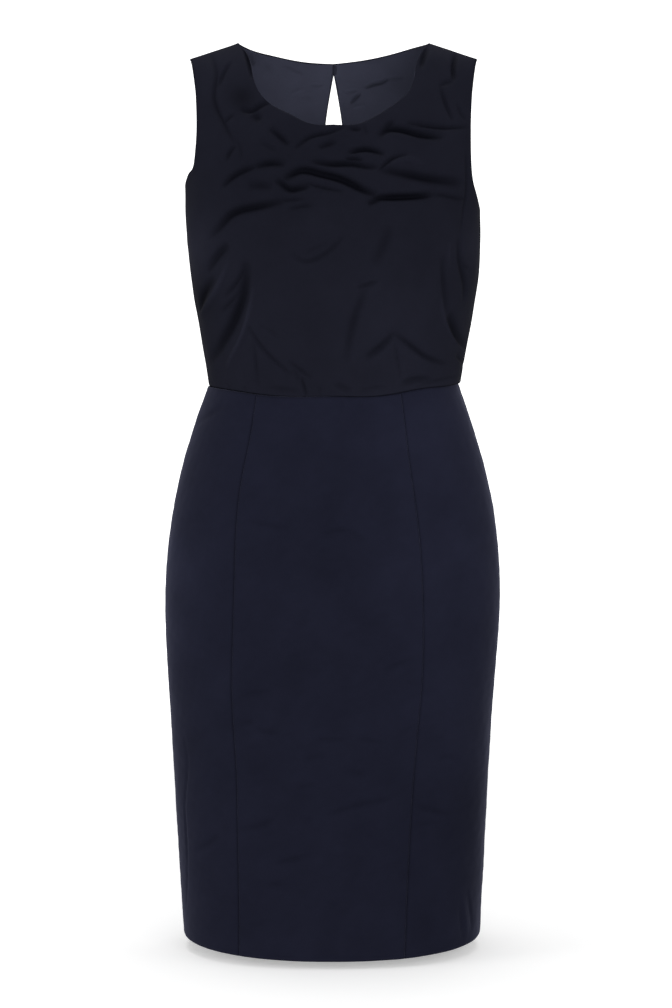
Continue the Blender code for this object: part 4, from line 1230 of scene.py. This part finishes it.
def build_zip_teeth(coil, bodice_backs, skirt_backs):
    """Closed coil of teeth down the inside of the tapes, with a stop at its end."""
    backs = (skirt_backs[0], bodice_backs[0])
    path = np.concatenate([points[:, 0] for points in backs])
    normals = np.concatenate([grid_normals(points)[:, 2] for points in backs])
    inside = path - normals * (CLOTH + TAPE_THICKNESS + TOOTH[1] / 2 + 2 * CLEARANCE)
    inside[:, 0] = 0.0
    order = np.argsort(inside[:, 2])
    inside, normals = inside[order], normals[order]
    parts = []
    for k, z in enumerate(np.arange(SLIDER_FOOT, ZIP_BOTTOM + 2 * ZIP_STOP[2], -TOOTH_PITCH)):
        middle, out = sample(z, inside[:, 2], inside), sample(z, inside[:, 2], normals)
        out[0] = 0.0
        middle[0] = TOOTH[0] * (TOOTH_STAGGER if k % 2 else -TOOTH_STAGGER)
        parts.append(block(middle, out / norm(out), TOOTH))
    middle[0] = 0.0
    middle[2] -= ZIP_STOP[2]
    parts.append(block(middle, out / norm(out), ZIP_STOP))
    joined_mesh("zip_teeth", parts, coil)


# ------------ stage, lights, camera
def build_stage():
    """Round floor that bends up into a wall behind the camera, whichever side it looks from."""
    floor, bend, top = 4.5, 1.5, 7.0
    profile = [(0.02, 0.0), (1.0, 0.0), (2.5, 0.0), (floor, 0.0)]
    for angle in np.radians(np.arange(10, 91, 10)):
        profile.append((floor + bend * math.sin(angle), bend * (1 - math.cos(angle))))
    profile.append((floor + bend, top))
    around = np.linspace(0, 2 * math.pi, 96, endpoint=False)
    points = [(away * math.cos(a), away * math.sin(a), FLOOR + z)
              for away, z in profile for a in around]
    count = len(around)
    faces = [tuple(range(count))]
    for row in range(len(profile) - 1):
        for k in range(count):
            here, after = row * count + k, row * count + (k + 1) % count
            faces.append((here, here + count, after + count, after))
    sweep = add_mesh("studio_sweep", points, faces, [stage_material("studio_white")])
    sweep.visible_diffuse = False
    sweep.visible_glossy = False
    sweep.visible_shadow = False


def stand(thing, place, target):
    """Puts a light or the camera at its place, facing its target."""
    thing.location = place
    aim = Vector(target) - Vector(place)
    thing.rotation_euler = aim.to_track_quat("-Z", "Y").to_euler()


def add_light(name, place, target, size, power):
    light = bpy.data.lights.new(name, "AREA")
    light.shape = "RECTANGLE"
    light.size, light.size_y = size
    light.energy = power
    lamp = add_object(name, light)
    stand(lamp, place, target)
    return lamp


def build_light():
    """Even light from the world, and the lights. The back light leaves out the stage."""
    world = bpy.data.worlds.new("studio")
    bpy.context.scene.world = world
    world.use_nodes = True
    set_inputs(world.node_tree, world.node_tree.nodes["Background"],
               {"Color": (1, 1, 1, 1), "Strength": WORLD_STRENGTH})
    lamps = {light[0]: add_light(*light) for light in LIGHTS}
    behind = lamps["back_softbox"]
    behind.visible_camera = False
    behind.visible_glossy = False
    unlit = bpy.data.collections.new("not_lit_from_behind")
    unlit.objects.link(bpy.data.objects["studio_sweep"])
    unlit.collection_objects[0].light_linking.link_state = "EXCLUDE"
    behind.light_linking.receiver_collection = unlit


def build_camera():
    lens = bpy.data.cameras.new("camera")
    camera = add_object("camera", lens)
    stand(camera, CAMERA_PLACE, CAMERA_TARGET)
    lens.sensor_fit = "VERTICAL"
    lens.sensor_height = 36
    lens.lens = CAMERA_LENS
    lens.clip_end = 30
    bpy.context.scene.camera = camera


def main():
    cloths = {name: cloth_material(name, *values) for name, values in CLOTHS.items()}
    cover, tape = cloths["satin_cover"], cloths["zip_tape_cloth"]
    enamel = enamel_material("zip_enamel_coat", ENAMEL_COLOUR)
    bodice_backs = build_bodice((cloths["satin_out"], cloths["satin_in"]))
    skirt_backs = build_skirt((cloths["twill_out"], cloths["twill_in"]))
    build_sewing(cloths["sewing_thread"], bodice_backs)
    build_zip_teeth(enamel, bodice_backs, skirt_backs)
    for name, material in (("zip_tape_left", tape), ("zip_tape_right", tape),
                           ("zip_slider", enamel), ("zip_pull", enamel),
                           ("neck_button", cover), ("neck_loop", cover)):
        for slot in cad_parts[name].material_slots:
            slot.material = material
    build_stage()
    build_light()
    build_camera()
    bpy.context.scene.view_settings.view_transform = "Standard"


main()
